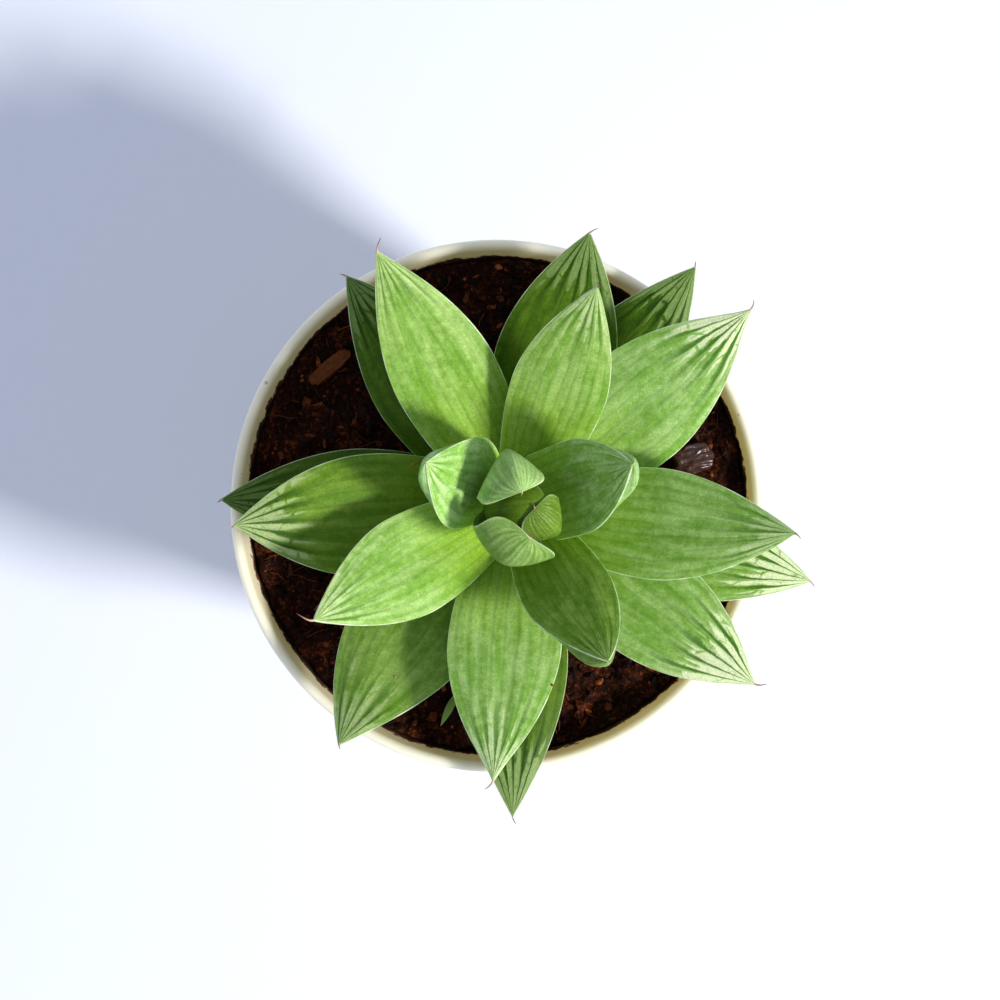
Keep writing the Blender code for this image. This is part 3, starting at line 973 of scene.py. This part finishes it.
    def skin(self) -> tuple[Array, Faces, NDArray[np.int64], dict[str, Array]]:
        """Carry the outline along the axis, close to the tip in ever shorter steps, and close both ends.

        Returns:
            Points, faces, which material each face takes, and the numbers that the materials read.
        """
        ease = 0.47 * math.pi
        s = self.last_ring * np.sin(np.linspace(0.0, ease, self.rings)) / math.sin(ease)
        section, across, part = self.outline(s)
        points, along, right, up = self.frames(s)
        skin = points[:, None] + section[..., :1] * right[:, None] + section[..., 1:] * up[:, None]
        ahead = self.nose * np.sin(math.pi * np.clip((s - 0.8) / 0.2, 0.0, 1.0))[:, None]
        ahead = ahead * (part == 2) * (1.0 - across**2)
        ahead = ahead + self.ears * across**2 * (smooth(0.4, 0.9, s) * (1.0 - s**16))[:, None]
        skin = skin + ahead[..., None] * along[:, None]
        tip = self.frames(np.array([1.0]))[0][0]
        verts, faces = closed_rings(skin, last=tip)
        columns = skin.shape[1]
        caps = [np.full(columns, 2), np.ones(columns)]
        part_of_face = np.concatenate([np.tile(part, self.rings - 1), *caps])
        ends = np.array([0.0, 0.0])
        values = {
            "across": np.concatenate([across.ravel(), ends]),
            "along": np.concatenate([np.repeat(s, columns), [0.0, 1.0]]),
            # tone: the leaf's own shade with its painted shade and sheen
            "tone": np.full(len(verts), self.tone),
            "clear": np.full(len(verts), self.clear),
        }
        return verts, faces, part_of_face.astype(np.int64), values

    def bristle_tube(self) -> tuple[Shape, Array]:
        """The bristle: a thin tapering tube that carries the tip on and curls to one side.

        Returns:
            Its points and faces, and how far along it each point is.
        """
        rings, sides = 12, 6
        points, along, across, up = self.frames(np.array([0.985, 1.0]))
        t = np.linspace(0.0, 1.0, rings)
        turn = math.radians(self.bristle_turn)
        sweep = self.bristle * t
        side_way = self.bristle * math.sin(turn) * t**2
        rise = 0.25 * self.bristle * np.sin(2.4 * t + self.order) * t
        path = (
            points[0] + sweep[:, None] * along[1] + side_way[:, None] * across[1] + rise[:, None] * up[1]
        )
        radii = 0.19 * (1.0 - t) ** 0.8 + 0.035
        return tube(path, radii, sides), np.concatenate([np.repeat(t, sides), [0.0, 1.0]])


# each leaf's tone is partly its own shade and partly painted shade where other leaves shadow it
LEAVES = (
    # the closed bud: small leaves that curl over the middle
    Leaf(2.4, 187.0, 25.0, 11.0, 1.4, 52.0, 186.0, cup=22.0, start=-0.6, crown=0.0, base=0.45, widest=0.66,
         taper=3.0, blunt=0.7, bend=1.6, belly=0.0, nose=0.0, bristle=0.5, tone=0.1, clear=0.05),
    Leaf(-1.0, -37.0, 20.0, 9.1, 1.5, 60.0, 168.0, side=1.2, fold=26.0, start=1.9, crown=0.0, base=0.6,
         widest=0.6, taper=4.0, blunt=0.6, ears=1.0, bend=2.6, belly=0.0, nose=0.0, bristle=0.9, tone=0.24,
         clear=0.22),
    Leaf(0.0, 104.0, 24.0, 13.6, 1.8, 64.0, 171.0, side=-1.2, fold=38.0, start=2.6, crown=0.0, base=0.6,
         widest=0.6, taper=4.0, blunt=0.7, skew=0.17, ears=0.7, bend=2.6, belly=0.0, nose=0.0, bristle=0.9,
         tone=0.75, clear=0.22),
    Leaf(1.0, -112.0, 22.4, 13.0, 1.8, 61.0, 155.0, side=3.6, fold=12.0, cup=14.0, start=2.5, crown=0.0,
         base=0.6, widest=0.6, taper=4.5, blunt=0.65, skew=-0.04, ears=1.4, bend=2.6, belly=0.0, nose=0.0,
         bristle=0.9, tone=0.52, clear=0.2),
    # half-open leaves round the bud
    Leaf(2.0, 16.0, 27.8, 15.2, 4.4, 54.0, 62.0, roll=-8.0, side=1.2, start=3.6, base=0.95, widest=0.4,
         blunt=0.9, belly=1.2, belly_from=0.55, lean=-0.4, nose=1.1, bristle=0.5, tone=0.82, clear=0.1),
    Leaf(3.0, 156.5, 25.5, 15.4, 4.0, 68.0, 52.0, side=-0.4, start=4.2, base=0.6, bend=2.6, blunt=0.9,
         belly=1.2, belly_from=0.5, lean=0.5, nose=0.9, bristle=0.5, tone=0.95, clear=0.1),
    Leaf(4.0, -60.0, 34.4, 14.6, 5.0, 42.0, 57.0, roll=-22.0, blunt=0.9, belly=0.9, belly_from=0.6,
         lean=-0.5, nose=1.1, bristle=0.6, tone=0.38, clear=0.15),
    Leaf(5.0, 70.0, 39.5, 15.5, 5.0, 34.0, 44.0, bristle=0.8, bristle_turn=-40.0, tone=0.6, clear=0.4),
    # upper spreading leaves
    Leaf(6.0, -150.5, 39.0, 16.5, 5.2, 33.0, 40.0, bristle=3.0, bristle_turn=-50.0, tone=0.74, clear=0.3),
    Leaf(7.0, -9.0, 44.5, 18.0, 5.2, 27.0, 32.0, side=2.5, bristle_turn=-40.0, bristle=1.3, tone=0.7,
         clear=0.35),
    Leaf(8.0, 119.0, 46.0, 17.0, 5.2, 26.0, 30.0, pinch=0.15, bristle=1.9, bristle_turn=-60.0, tone=0.58,
         clear=0.2),
    Leaf(9.0, -95.0, 43.5, 18.5, 5.2, 24.0, 28.0, roll=8.0, pinch=0.5, bristle_turn=-60.0, bristle=1.5,
         tone=0.76, clear=0.5),
    Leaf(10.0, 38.5, 47.5, 19.5, 5.2, 22.0, 25.0, side=1.2, pinch=0.45, bristle=1.7, tone=0.8, clear=1.0),
    Leaf(11.0, 184.0, 43.5, 20.0, 5.2, 20.0, 23.0, taper=2.0, bristle=1.0, tone=0.24, clear=0.75),
    # lower spreading leaves, the oldest last
    Leaf(12.0, -37.0, 45.5, 18.5, 4.8, 16.5, 18.5, taper=2.1, pinch=0.3, bristle=2.0, bristle_turn=40.0,
         tone=0.74, clear=1.0),
    Leaf(13.0, 75.0, 42.5, 20.0, 5.0, 13.0, 16.0, taper=1.9, bristle_turn=-50.0, bristle=1.5, tone=0.04,
         clear=0.7),
    Leaf(14.0, -133.0, 45.0, 21.5, 5.2, 13.0, 15.5, roll=28.0, side=5.5, taper=2.0, bristle=1.0, tone=0.48,
         clear=0.4),
    Leaf(15.0, -14.5, 46.0, 17.5, 4.6, 9.0, 10.5, taper=2.0, bristle_turn=-40.0, bristle=1.3, tone=0.62,
         clear=1.0),
    Leaf(16.0, 126.6, 43.0, 18.5, 4.8, 8.5, 9.5, bristle=1.3, tone=0.05, clear=0.6),
    Leaf(17.0, -90.7, 47.5, 18.0, 4.6, 7.5, 8.0, roll=-10.0, pinch=0.1, bristle=1.7, bristle_turn=20.0,
         tone=0.04, clear=0.9),
    Leaf(18.0, 53.0, 45.3, 18.0, 4.8, 7.0, 8.0, bristle=1.2, tone=0.0, clear=1.0),
    Leaf(19.0, 179.0, 45.0, 18.0, 4.8, 6.0, 7.0, taper=1.9, bristle=1.0, tone=0.0, clear=0.45),
)


@dataclass(frozen=True)
class StrayFleck:
    """A fleck of husk that lies on a leaf."""

    leaf: int
    along: float
    across: float
    length: float
    width: float
    turn: float
    tone: float


@dataclass
class Rosette:
    """The spiral of leaves with their bristles, and the flecks of husk that have landed on them."""

    flecks: tuple[StrayFleck, ...] = (
        StrayFleck(12, 0.605, 1.0, 0.5, 0.35, 40.0, 0.35),
        StrayFleck(17, 0.687, 0.29, 0.6, 0.25, 15.0, 0.95),
        StrayFleck(14, 0.289, -0.86, 1.8, 0.16, 25.0, 0.85),
        StrayFleck(10, 0.523, -0.63, 0.3, 0.2, 0.0, 0.8),
        StrayFleck(13, 0.30, 0.45, 0.35, 0.25, 70.0, 0.5),
    )
    leaves: tuple[Leaf, ...] = LEAVES
    face: LeafTissue = LeafTissue(LeafSide.FACE)
    keel: LeafTissue = LeafTissue(
        LeafSide.KEEL, body="78A74C", light="98BF72", deep="3A6C26", foot="92BC44", window="BFD6A2",
        tip_veins=6.5, window_start=0.60, window_full=0.94, vein_least=0.1, green_least=0.24,
    )

    def build(self) -> None:
        """Make every leaf, the bristles and the flecks."""
        skins = [self.face.build(), MarginTissue().build(), self.keel.build()]
        for number, leaf in enumerate(self.leaves, start=1):
            name = "leaf_%02d" % number
            points, faces, parts, values = leaf.skin()
            piece = new_piece("grown_" + name, points, faces, skins, parts, values)
            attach(piece, BODY)
            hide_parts(name)
        self.build_bristles()
        self.build_flecks()

    def build_flecks(self) -> None:
        """Lay the stray flecks of husk on the faces of their leaves, as one piece."""
        lat, lon = (angles[..., None] for angles in ball_angles(7, 9, 0.12))
        shapes: list[Shape] = []
        tones: list[Array] = []
        for fleck in self.flecks:
            leaf = self.leaves[fleck.leaf - 1]
            s = np.array([fleck.along])
            x, y = leaf.surface(s[:, None], np.array([[fleck.across]]), under=False)
            point, along, across, up = (row[0] for row in leaf.frames(s))
            centre = point + x[0, 0] * across + (y[0, 0] + 0.3 * fleck.width) * up
            turn = math.radians(fleck.turn)
            long_way = math.cos(turn) * along + math.sin(turn) * across
            short_way = math.cos(turn) * across - math.sin(turn) * along
            dent = 1.0 + 0.2 * np.sin(3.0 * lon + 5.0 * lat + fleck.turn)
            rings = centre + 0.5 * dent * np.sin(lat) * (
                fleck.length * np.cos(lon) * long_way + fleck.width * np.sin(lon) * short_way
            ) - 0.4 * fleck.width * np.cos(lat) * up
            shapes.append(closed_rings(rings))
            tones.append(np.full(len(shapes[-1][0]), fleck.tone))
        husk = HuskChip("stray husk flecks", ((0.0, "4A150C"), (0.5, "8E3A1C"), (1.0, "D0A050")))
        values = {"tone": np.concatenate(tones)}
        piece = new_piece("stray_flecks", *join(shapes), [husk.build()], values=values)
        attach(piece, BODY)

    def build_bristles(self) -> None:
        """Make the bristles of all leaves as one piece."""
        tubes = [leaf.bristle_tube() for leaf in self.leaves]
        values = {"along": np.concatenate([along for _, along in tubes])}
        piece = new_piece(
            "leaf_bristles", *join([shape for shape, _ in tubes]), [DryBristle().build()], values=values
        )
        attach(piece, BODY)


# ---------------------------------------------------------------- the pot and what it holds


@dataclass
class Pot:
    """The thin-walled nursery pot, turned from one rounded profile, with its drainage holes."""

    segments: int = 216
    corner: float = 0.55
    corner_points: int = 5
    holes: int = 6
    hole_ring: float = 18.5
    hole_radius: float = 3.4
    profile: tuple[Pair, ...] = (
        (9.5, 0.0), (10.4, 1.0), (26.2, 1.0), (27.2, 0.0), (30.2, 0.0), (31.1, 0.5), (31.5, 1.5),
        (36.8, 35.0), (42.1, 68.4), (42.6, 69.0), (43.8, 69.5), (44.1, 70.2), (44.8, 78.4),
        (45.0, 79.2), (44.7, 79.8), (44.2, 80.0), (43.6, 79.8), (43.2, 79.2),
        (43.0, 78.2), (42.1, 74.0), (40.9, 68.0), (35.6, 35.0), (30.6, 3.8), (29.4, 2.6),
    )
    first_inside: int = 16      # corner of the profile where the inner side begins
    drill_reach: Pair = (-3.0, 6.0)
    drill_sides: int = 40

    def build(self) -> None:
        """Turn the profile, drill the holes and give the pot its finish."""
        line = fillet(np.array(self.profile), self.corner, self.corner_points)
        rings = turned(line, self.segments)[:, ::-1]
        ends = np.array([[0.0, 0.0, line[0, 1]], [0.0, 0.0, line[-1, 1]]])
        inside_line = (np.arange(len(line)) > self.corner_points * self.first_inside).astype(float)
        inside = np.concatenate([np.repeat(inside_line, self.segments), [0.0, 1.0]])
        plastic = IvoryPolypropylene().build()
        pot = new_piece("turned_pot", *closed_rings(rings, *ends), [plastic], values={"inside": inside})
        self.drill(pot)
        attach(pot, BODY)
        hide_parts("pot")

    def drill(self, pot: bpy.types.Object) -> None:
        """Cut the drainage holes with one cutter and keep the cut mesh.

        Args:
            pot: The pot.
        """
        drills: list[Shape] = []
        for k in range(self.holes):
            turn = 2.0 * math.pi * (k + 0.5) / self.holes
            x, y = self.hole_ring * math.cos(turn), self.hole_ring * math.sin(turn)
            path = np.array([[x, y, height] for height in self.drill_reach])
            drills.append(tube(path, np.full(len(path), self.hole_radius), self.drill_sides))
        cutter = new_piece("drain_cutter", *join(drills), [])
        modifier = pot.modifiers.new("drain", "BOOLEAN")
        modifier.operation = "DIFFERENCE"
        modifier.solver = "EXACT"
        modifier.object = cutter
        graph = bpy.context.evaluated_depsgraph_get()
        cut = bpy.data.meshes.new_from_object(pot.evaluated_get(graph))
        pot.modifiers.clear()
        pot.data = cut
        bpy.data.objects.remove(cutter)


@dataclass
class Peat:
    """The plug of coco-peat: a rough top that shows clods and grains, and a plain side against the pot."""

    top: float = 74.3
    swell: float = 0.5
    clod: float = 3.6           # size of the clods and of the grains
    grain: float = 1.0
    clod_height: float = 1.0
    grain_height: float = 0.45
    edge: float = 41.9
    rings: int = 128
    segments: int = 400
    side: tuple[Pair, ...] = ((41.5, 73.4), (40.4, 68.0), (35.15, 35.0), (30.2, 4.6), (28.9, 3.1))

    def level(self, x: Array, y: Array) -> Array:
        """Height of the peat: slow swells and a low mound round the stem."""
        swell = np.sin(0.21 * x + 0.6) * np.cos(0.17 * y - 0.4) + 0.6 * np.sin(0.11 * x - 0.27 * y)
        mound = np.exp(-((x - STEM_CENTRE[0]) ** 2 + (y - STEM_CENTRE[1]) ** 2) / 180.0)
        return self.top + self.swell * (swell + mound)

    def surface(self, x: Array, y: Array) -> Array:
        """Height with the clods and grains on it."""
        clods = self.clod_height * layered_noise(x, y, self.clod, 3, 11)
        grains = self.grain_height * np.abs(layered_noise(x, y, self.grain, 2, 41))
        return self.level(x, y) + clods + grains + self.climb(x, y)

    def climb(self, x: Array, y: Array) -> Array:
        """How far the peat stands up where it clings to the wall, raggedly."""
        part = smooth(0.92, 0.985, np.hypot(x, y) / self.edge)
        return part * (0.9 + 1.1 * value_noise(x, y, 1.6, 77))

    def build(self) -> None:
        """Make the plug."""
        part = np.linspace(0.004, 1.0, self.rings)[:, None]
        angle = turns(self.segments)[None, :]
        x = part * self.edge * np.cos(angle)
        y = part * self.edge * np.sin(angle)
        top = np.stack([x, y, self.surface(x, y)], axis=-1)
        side = np.array(self.side)
        rings = np.concatenate([top, turned(side, self.segments)])
        middle = np.array([0.0, 0.0, float(top[0, :, 2].mean())])
        points, faces = closed_rings(rings, middle, np.array([0.0, 0.0, side[-1, 1]]))
        soil = new_piece("peat_plug", points, faces, [CocoPeat().build()])
        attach(soil, BODY)
        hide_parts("soil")


@dataclass
class LooseGrains:
    """Chips and fibres scattered over the peat, each kind as one piece."""

    peat: Peat
    chips: int = 3400
    chip_size: Pair = (-0.86, 0.52)     # mean and spread of the logarithm of their half size
    chip_shape: tuple[Pair, ...] = ((0.7, 1.6), (0.35, 0.8), (0.18, 0.5))   # length, width and height
    chip_most: float = 1.1              # half the length of the longest
    chip_dents: Pair = (0.55, 1.35)
    chip_tilt: float = 0.35             # spread of their tilt in radians
    chip_tones: Pair = (1.0, 2.3)       # of a beta distribution, mostly dark
    fibres: int = 300
    fibre_length: Pair = (1.5, 6.0)
    fibre_bow: float = 0.12             # spread of their bow, part of their length
    fibre_lift: float = 0.9             # how far the highest one's end rises
    fibre_gap: float = 0.55             # height over the smooth level of the peat
    fibre_radius: Pair = (0.05, 0.13)
    fibre_tones: Pair = (1.6, 2.0)
    reach: float = 41.0
    chip_finish: HuskChip = HuskChip(
        "broken coconut husk",
        ((0.0, "0B0503"), (0.40, "2A1208"), (0.60, "5E2B13"), (0.82, "8E4A24"), (1.0, "B87038")),
    )
    fibre_finish: HuskChip = HuskChip(
        "coconut fibre", ((0.0, "1E0D05"), (0.5, "4C2610"), (0.85, "844F26"), (1.0, "B0783E")),
        roughness=0.65,
    )

    def scatter(self, count: int, rng: np.random.Generator) -> tuple[Array, Array]:
        """Even random places inside the pot.

        Args:
            count: How many.
            rng: Source of random numbers.

        Returns:
            X and Y of each place.
        """
        radius = self.reach * np.sqrt(rng.uniform(0.0, 1.0, count))
        turn = rng.uniform(0.0, 2.0 * math.pi, count)
        return radius * np.cos(turn), radius * np.sin(turn)

    def build(self) -> None:
        """Make the chips and the fibres."""
        self.build_chips(np.random.default_rng(5))
        self.build_fibres(np.random.default_rng(8))

    def build_chips(self, rng: np.random.Generator) -> None:
        """Scatter small irregular slabs: rings of a squashed, dented ball, turned and scaled at random.

        Args:
            rng: Source of random numbers.
        """
        count = self.chips
        x, y = self.scatter(count, rng)
        lat, lon = ball_angles(4, 7, 0.15)
        ball = np.stack(
            [np.sin(lat) * np.cos(-lon), np.sin(lat) * np.sin(-lon), -np.cos(lat) + 0.0 * lon], axis=-1
        )
        template, faces = closed_rings(ball, np.array([0.0, 0.0, -1.0]), np.array([0.0, 0.0, 1.0]))
        shape = template[None] * rng.uniform(*self.chip_dents, (count, len(template), 1))
        size = rng.lognormal(*self.chip_size, count)[:, None] * np.stack(
            [rng.uniform(low, high, count) for low, high in self.chip_shape], axis=1
        )
        shape = shape * np.minimum(size, self.chip_most)[:, None, :]
        turn = rng.uniform(0.0, 2.0 * math.pi, count)
        tilt = rng.normal(0.0, self.chip_tilt, count)
        cos, sin = np.cos(turn), np.sin(turn)
        zero, one = np.zeros(count), np.ones(count)
        spin = np.stack([cos, -sin, zero, sin, cos, zero, zero, zero, one], axis=1).reshape(-1, 3, 3)
        lean = np.stack(
            [np.cos(tilt), zero, np.sin(tilt), zero, one, zero, -np.sin(tilt), zero, np.cos(tilt)], axis=1
        ).reshape(-1, 3, 3)
        points = np.einsum("nij,njk,nvk->nvi", spin, lean, shape)
        centre = np.stack([x, y, self.peat.surface(x, y) + 0.5 * size[:, 2]], axis=1)
        points = points + centre[:, None, :]
        tones = rng.beta(*self.chip_tones, count)
        self.finish("husk_chips", points, faces, tones, self.chip_finish, False)

    def build_fibres(self, rng: np.random.Generator) -> None:
        """Scatter thin bent strands that lie on the peat: four-sided tubes along a bowed line.

        Args:
            rng: Source of random numbers.
        """
        count, steps, sides = self.fibres, 8, 4
        x, y = self.scatter(count, rng)
        length = rng.uniform(*self.fibre_length, count)
        turn = rng.uniform(0.0, 2.0 * math.pi, count)
        bow = rng.normal(0.0, self.fibre_bow, count) * length
        t = np.linspace(-0.5, 0.5, steps)[None, :]
        px = length[:, None] * t
        py = bow[:, None] * (4.0 * t**2 - 0.5) + 0.12 * np.sin(9.0 * t + turn[:, None])
        line_x, line_y = turn_about(x[:, None], y[:, None], px, py, turn[:, None])
        pull = np.minimum(1.0, self.reach / np.hypot(line_x, line_y))
        line_x, line_y = line_x * pull, line_y * pull
        lift = rng.uniform(0.0, self.fibre_lift, count)[:, None] * (t + 0.5)
        line_z = self.peat.level(line_x, line_y) + self.fibre_gap + lift
        path = np.stack([line_x, line_y, line_z], axis=-1)
        _, across, up = path_frames(path, (0.0, 0.0, 1.0))
        thick = rng.uniform(*self.fibre_radius, count)[:, None, None, None]
        thin = (1.0 - 1.4 * np.abs(t) ** 2)[:, :, None, None]
        angle = turns(sides)[None, None, :, None]
        rings = path[:, :, None] + thick * thin * (
            across[:, :, None] * np.cos(angle) + up[:, :, None] * np.sin(angle)
        )
        points = np.concatenate([rings.reshape(count, -1, 3), path[:, :1], path[:, -1:]], axis=1)
        _, faces = closed_rings(rings[0], path[0, 0], path[0, -1])
        tones = rng.beta(*self.fibre_tones, count)
        self.finish("coir_fibres", points, faces, tones, self.fibre_finish, True)

    def finish(
        self,
        name: str,
        points: Array,
        faces: Faces,
        tones: Array,
        finish: HuskChip,
        smooth_sided: bool,
    ) -> None:
        """Join the copies of one small shape into a piece that rides with the pot.

        Args:
            name: Name of the piece.
            points: Points by copy, by point, by coordinate.
            faces: Faces of one copy.
            tones: Shade of each copy.
            finish: Their finish.
            smooth_sided: False for broken chips with flat sides.
        """
        count, each, _ = points.shape
        tris = [face for face in faces if len(face) == 3]
        quads = [face for face in faces if len(face) == 4]
        shift = np.arange(count)[:, None, None] * each
        every = (np.array(quads)[None] + shift).reshape(-1, 4).tolist()
        every += (np.array(tris)[None] + shift).reshape(-1, 3).tolist()
        piece = new_piece(
            name, points.reshape(-1, 3), every, [finish.build()], values={"tone": np.repeat(tones, each)}
        )
        piece.data.polygons.foreach_set("use_smooth", np.full(len(every), smooth_sided))
        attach(piece, BODY)


@dataclass
class BarkPiece:
    """One larger scrap of bark on the peat: a dented slab with a ridged top."""

    name: str
    x: float
    y: float
    turn: float
    length: float
    width: float
    height: float
    tone: float
    gap: float = 0.65       # how high over the smooth level of the peat its solid lies
    sunk: float = 0.35      # how far this finer one is let down into the clods

    def build(self, peat: Peat, finish: bpy.types.Material) -> None:
        """Make the scrap: a flattened ball with squared sides, dented by noise and ridged along its length.

        Args:
            peat: The peat it lies on.
            finish: Its material.
        """
        lat, lon = ball_angles(30, 56, 0.02)
        ring = np.sin(lat) ** 0.55
        u = ring * np.sign(np.cos(-lon)) * np.abs(np.cos(-lon)) ** 0.7
        v = ring * np.sign(np.sin(-lon)) * np.abs(np.sin(-lon)) ** 0.7
        w = -np.sign(np.cos(lat)) * np.abs(np.cos(lat)) ** 0.6 + 0.0 * lon
        seed = int(abs(self.x))
        dent = 1.0 + 0.16 * value_noise(3.0 * lon + 0.0 * lat, 4.0 * w, 1.0, seed)
        ridges = 0.10 * np.sin(15.0 * v + 2.0 * value_noise(4.0 * u, 2.0 * v, 1.0, seed + 3))
        room = 0.94     # what the dents leave of its size
        px = 0.5 * self.length * u * dent * room
        py = 0.5 * self.width * v * dent * room
        lumps = 1.0 + 0.12 * value_noise(3.0 * u, 3.0 * v, 1.0, seed + 5)
        pz = 0.5 * self.height * (1.0 + w * lumps + ridges * (w > 0.0))
        place = np.array([self.x, self.y])
        foot = float(peat.level(place[:1], place[1:])[0]) + self.gap - self.sunk
        line_x, line_y = turn_about(self.x, self.y, px, py, math.radians(self.turn))
        rings = np.stack([line_x, line_y, foot + pz], axis=-1)
        points, faces = closed_rings(rings)
        piece = new_piece(
            "rough_" + self.name, points, faces, [finish], values={"tone": np.full(len(points), self.tone)}
        )
        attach(piece, BODY)
        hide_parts(self.name)


@dataclass
class Seedling:
    """The stray blade at the lower left: a thin folded strip that leans over the peat."""

    foot: Pair = (-7.0, -32.2)
    tip: Pair = (-9.6, -37.4)
    rise: float = 2.2
    width: float = 1.3
    thickness: float = 0.28
    gap: float = 0.65       # how high over the smooth level of the peat its solid stands
    sunk: float = 0.3       # how far this finer one is let down into the clods

    def build(self, peat: Peat) -> None:
        """Make the blade: its width swells and narrows along a low arch, and its middle is folded down.

        Args:
            peat: The peat it stands in.
        """
        t = np.linspace(0.0, 1.0, 34)
        place = np.array(self.foot)
        foot = np.array([*self.foot, float(peat.level(place[:1], place[1:])[0])])
        foot[2] += self.gap - self.sunk
        tip = np.array([*self.tip, foot[2] + self.rise])
        path = foot + (tip - foot) * t[:, None]
        path[:, 2] += 1.6 * t * (1.0 - t)
        _, across, up = path_frames(path, (0.0, 0.0, 1.0))
        half = 0.5 * self.width * (0.32 + 0.68 * np.sin(math.pi * t**0.8)) * (1.0 - t**6) + 0.02
        angle = turns(24)
        u = np.cos(angle)[None, :]
        fold = 0.35 * np.abs(u) * half[:, None]
        rise = 0.5 * self.thickness * np.sin(angle)[None, :] * (half / half.max())[:, None] + fold
        sideways = (half[:, None] * u)[..., None] * across[:, None]
        rings = path[:, None] + sideways + rise[..., None] * up[:, None]
        points, faces = closed_rings(rings)
        values = {"across": np.concatenate([np.tile(u.ravel(), len(t)), [0.0, 0.0]])}
        piece = new_piece("folded_seedling", points, faces, [SeedlingTissue().build()], values=values)
        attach(piece, BODY)
        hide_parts("seedling")


@dataclass
class Planting:
    """Everything in the pot under the leaves: peat, grains, bark scraps, seedling and the stem's finish."""

    peat: Peat = field(default_factory=Peat)
    dry: HuskChip = HuskChip(
        "red pine bark", ((0.0, "1C0B05"), (0.4, "4A2410"), (0.7, "74401E"), (1.0, "9C6236")),
        roughness=0.7, grain_mm=0.8, specular=0.12,
    )
    wet: HuskChip = HuskChip(
        "wet resinous bark", ((0.0, "120605"), (0.4, "35140E"), (0.7, "5E2A1A"), (1.0, "8A4A30")),
        roughness=0.3, grain_mm=1.1, specular=0.7,
    )
    dry_scraps: tuple[BarkPiece, ...] = (
        BarkPiece("bark_stick", -28.6, 23.6, 40.0, 8.6, 2.6, 1.5, 0.6),
        BarkPiece("bark_chip", 27.0, -27.0, 150.0, 5.0, 2.8, 1.2, 0.6),
    )
    wet_scraps: tuple[BarkPiece, ...] = (
        BarkPiece("bark_chunk", 33.2, 8.0, 12.0, 7.4, 5.2, 2.6, 0.4),
    )

    def build(self, frame: dict) -> None:
        """Make the planting.

        Args:
            frame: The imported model.
        """
        self.peat.build()
        LooseGrains(self.peat).build()
        for finish, scraps in ((self.dry, self.dry_scraps), (self.wet, self.wet_scraps)):
            bark = finish.build()
            for scrap in scraps:
                scrap.build(self.peat, bark)
        Seedling().build(self.peat)
        stem = frame["nodes"]["stem"]
        tissue = StemTissue().build()
        for place in stem.material_slots:
            place.material = tissue


# ---------------------------------------------------------------- the studio


@dataclass
class Studio:
    """Pale floor, one soft key light from the lower right, an even surround and the camera overhead."""

    camera_x: float = 0.5
    camera_y: float = 1.0
    camera_height: float = 480.0
    lens: float = 85.5
    target_height: float = 90.0
    key_direction: Triple = (0.689, -0.336, 0.643)
    key_distance: float = 1200.0
    key_size: float = 170.0
    key_power: float = 18.5
    sky: float = 0.66

    def build(self) -> None:
        """Set up floor, light and camera."""
        self.build_floor()
        self.build_lights()
        self.build_camera()

    def build_floor(self) -> None:
        """Lay a wide square of white paper."""
        half = 2500.0
        corners = np.array([[-half, -half, 0.0], [half, -half, 0.0], [half, half, 0.0], [-half, half, 0.0]])
        floor = new_piece("paper_floor", corners, [[0, 1, 2, 3]], [StudioPaper().build()])

    def build_lights(self) -> None:
        """Hang the square key light, which looks at the plant, and set an even pale surround."""
        target = np.array([0.0, 0.0, self.target_height])
        place = np.array(self.key_direction) * self.key_distance + target
        light = bpy.data.lights.new("key_light", "AREA")
        light.size = self.key_size * MM
        light.energy = self.key_power
        light.color = linear("FFFAF2")[:3]
        lamp = bpy.data.objects.new("key_light", light)
        lamp.location = (place * MM).tolist()
        lamp.rotation_euler = Vector((place - target).tolist()).to_track_quat("Z", "Y").to_euler()
        bpy.context.scene.collection.objects.link(lamp)
        world = bpy.data.worlds.new("studio")
        bpy.context.scene.world = world
        world.use_nodes = True
        back = world.node_tree.nodes["Background"]
        back.inputs["Color"].default_value = linear("E6ECFB")
        back.inputs["Strength"].default_value = self.sky
        bpy.context.scene.view_settings.view_transform = "Standard"

    def build_camera(self) -> None:
        """Hang the camera straight above the pot, its top towards +Y."""
        data = bpy.data.cameras.new("camera")
        data.lens = self.lens
        data.sensor_width = 36.0
        data.clip_start = 0.01
        camera = bpy.data.objects.new("camera", data)
        camera.location = (self.camera_x * MM, self.camera_y * MM, self.camera_height * MM)
        bpy.context.scene.collection.objects.link(camera)
        bpy.context.scene.camera = camera


def main() -> None:
    """Build the pot, what it holds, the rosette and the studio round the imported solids."""
    logging.basicConfig(level=logging.INFO, format="%(name)s: %(message)s")
    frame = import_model()
    Pot().build()
    Planting().build(frame)
    Rosette().build()
    Studio().build()


if __name__ == "__main__":
    main()
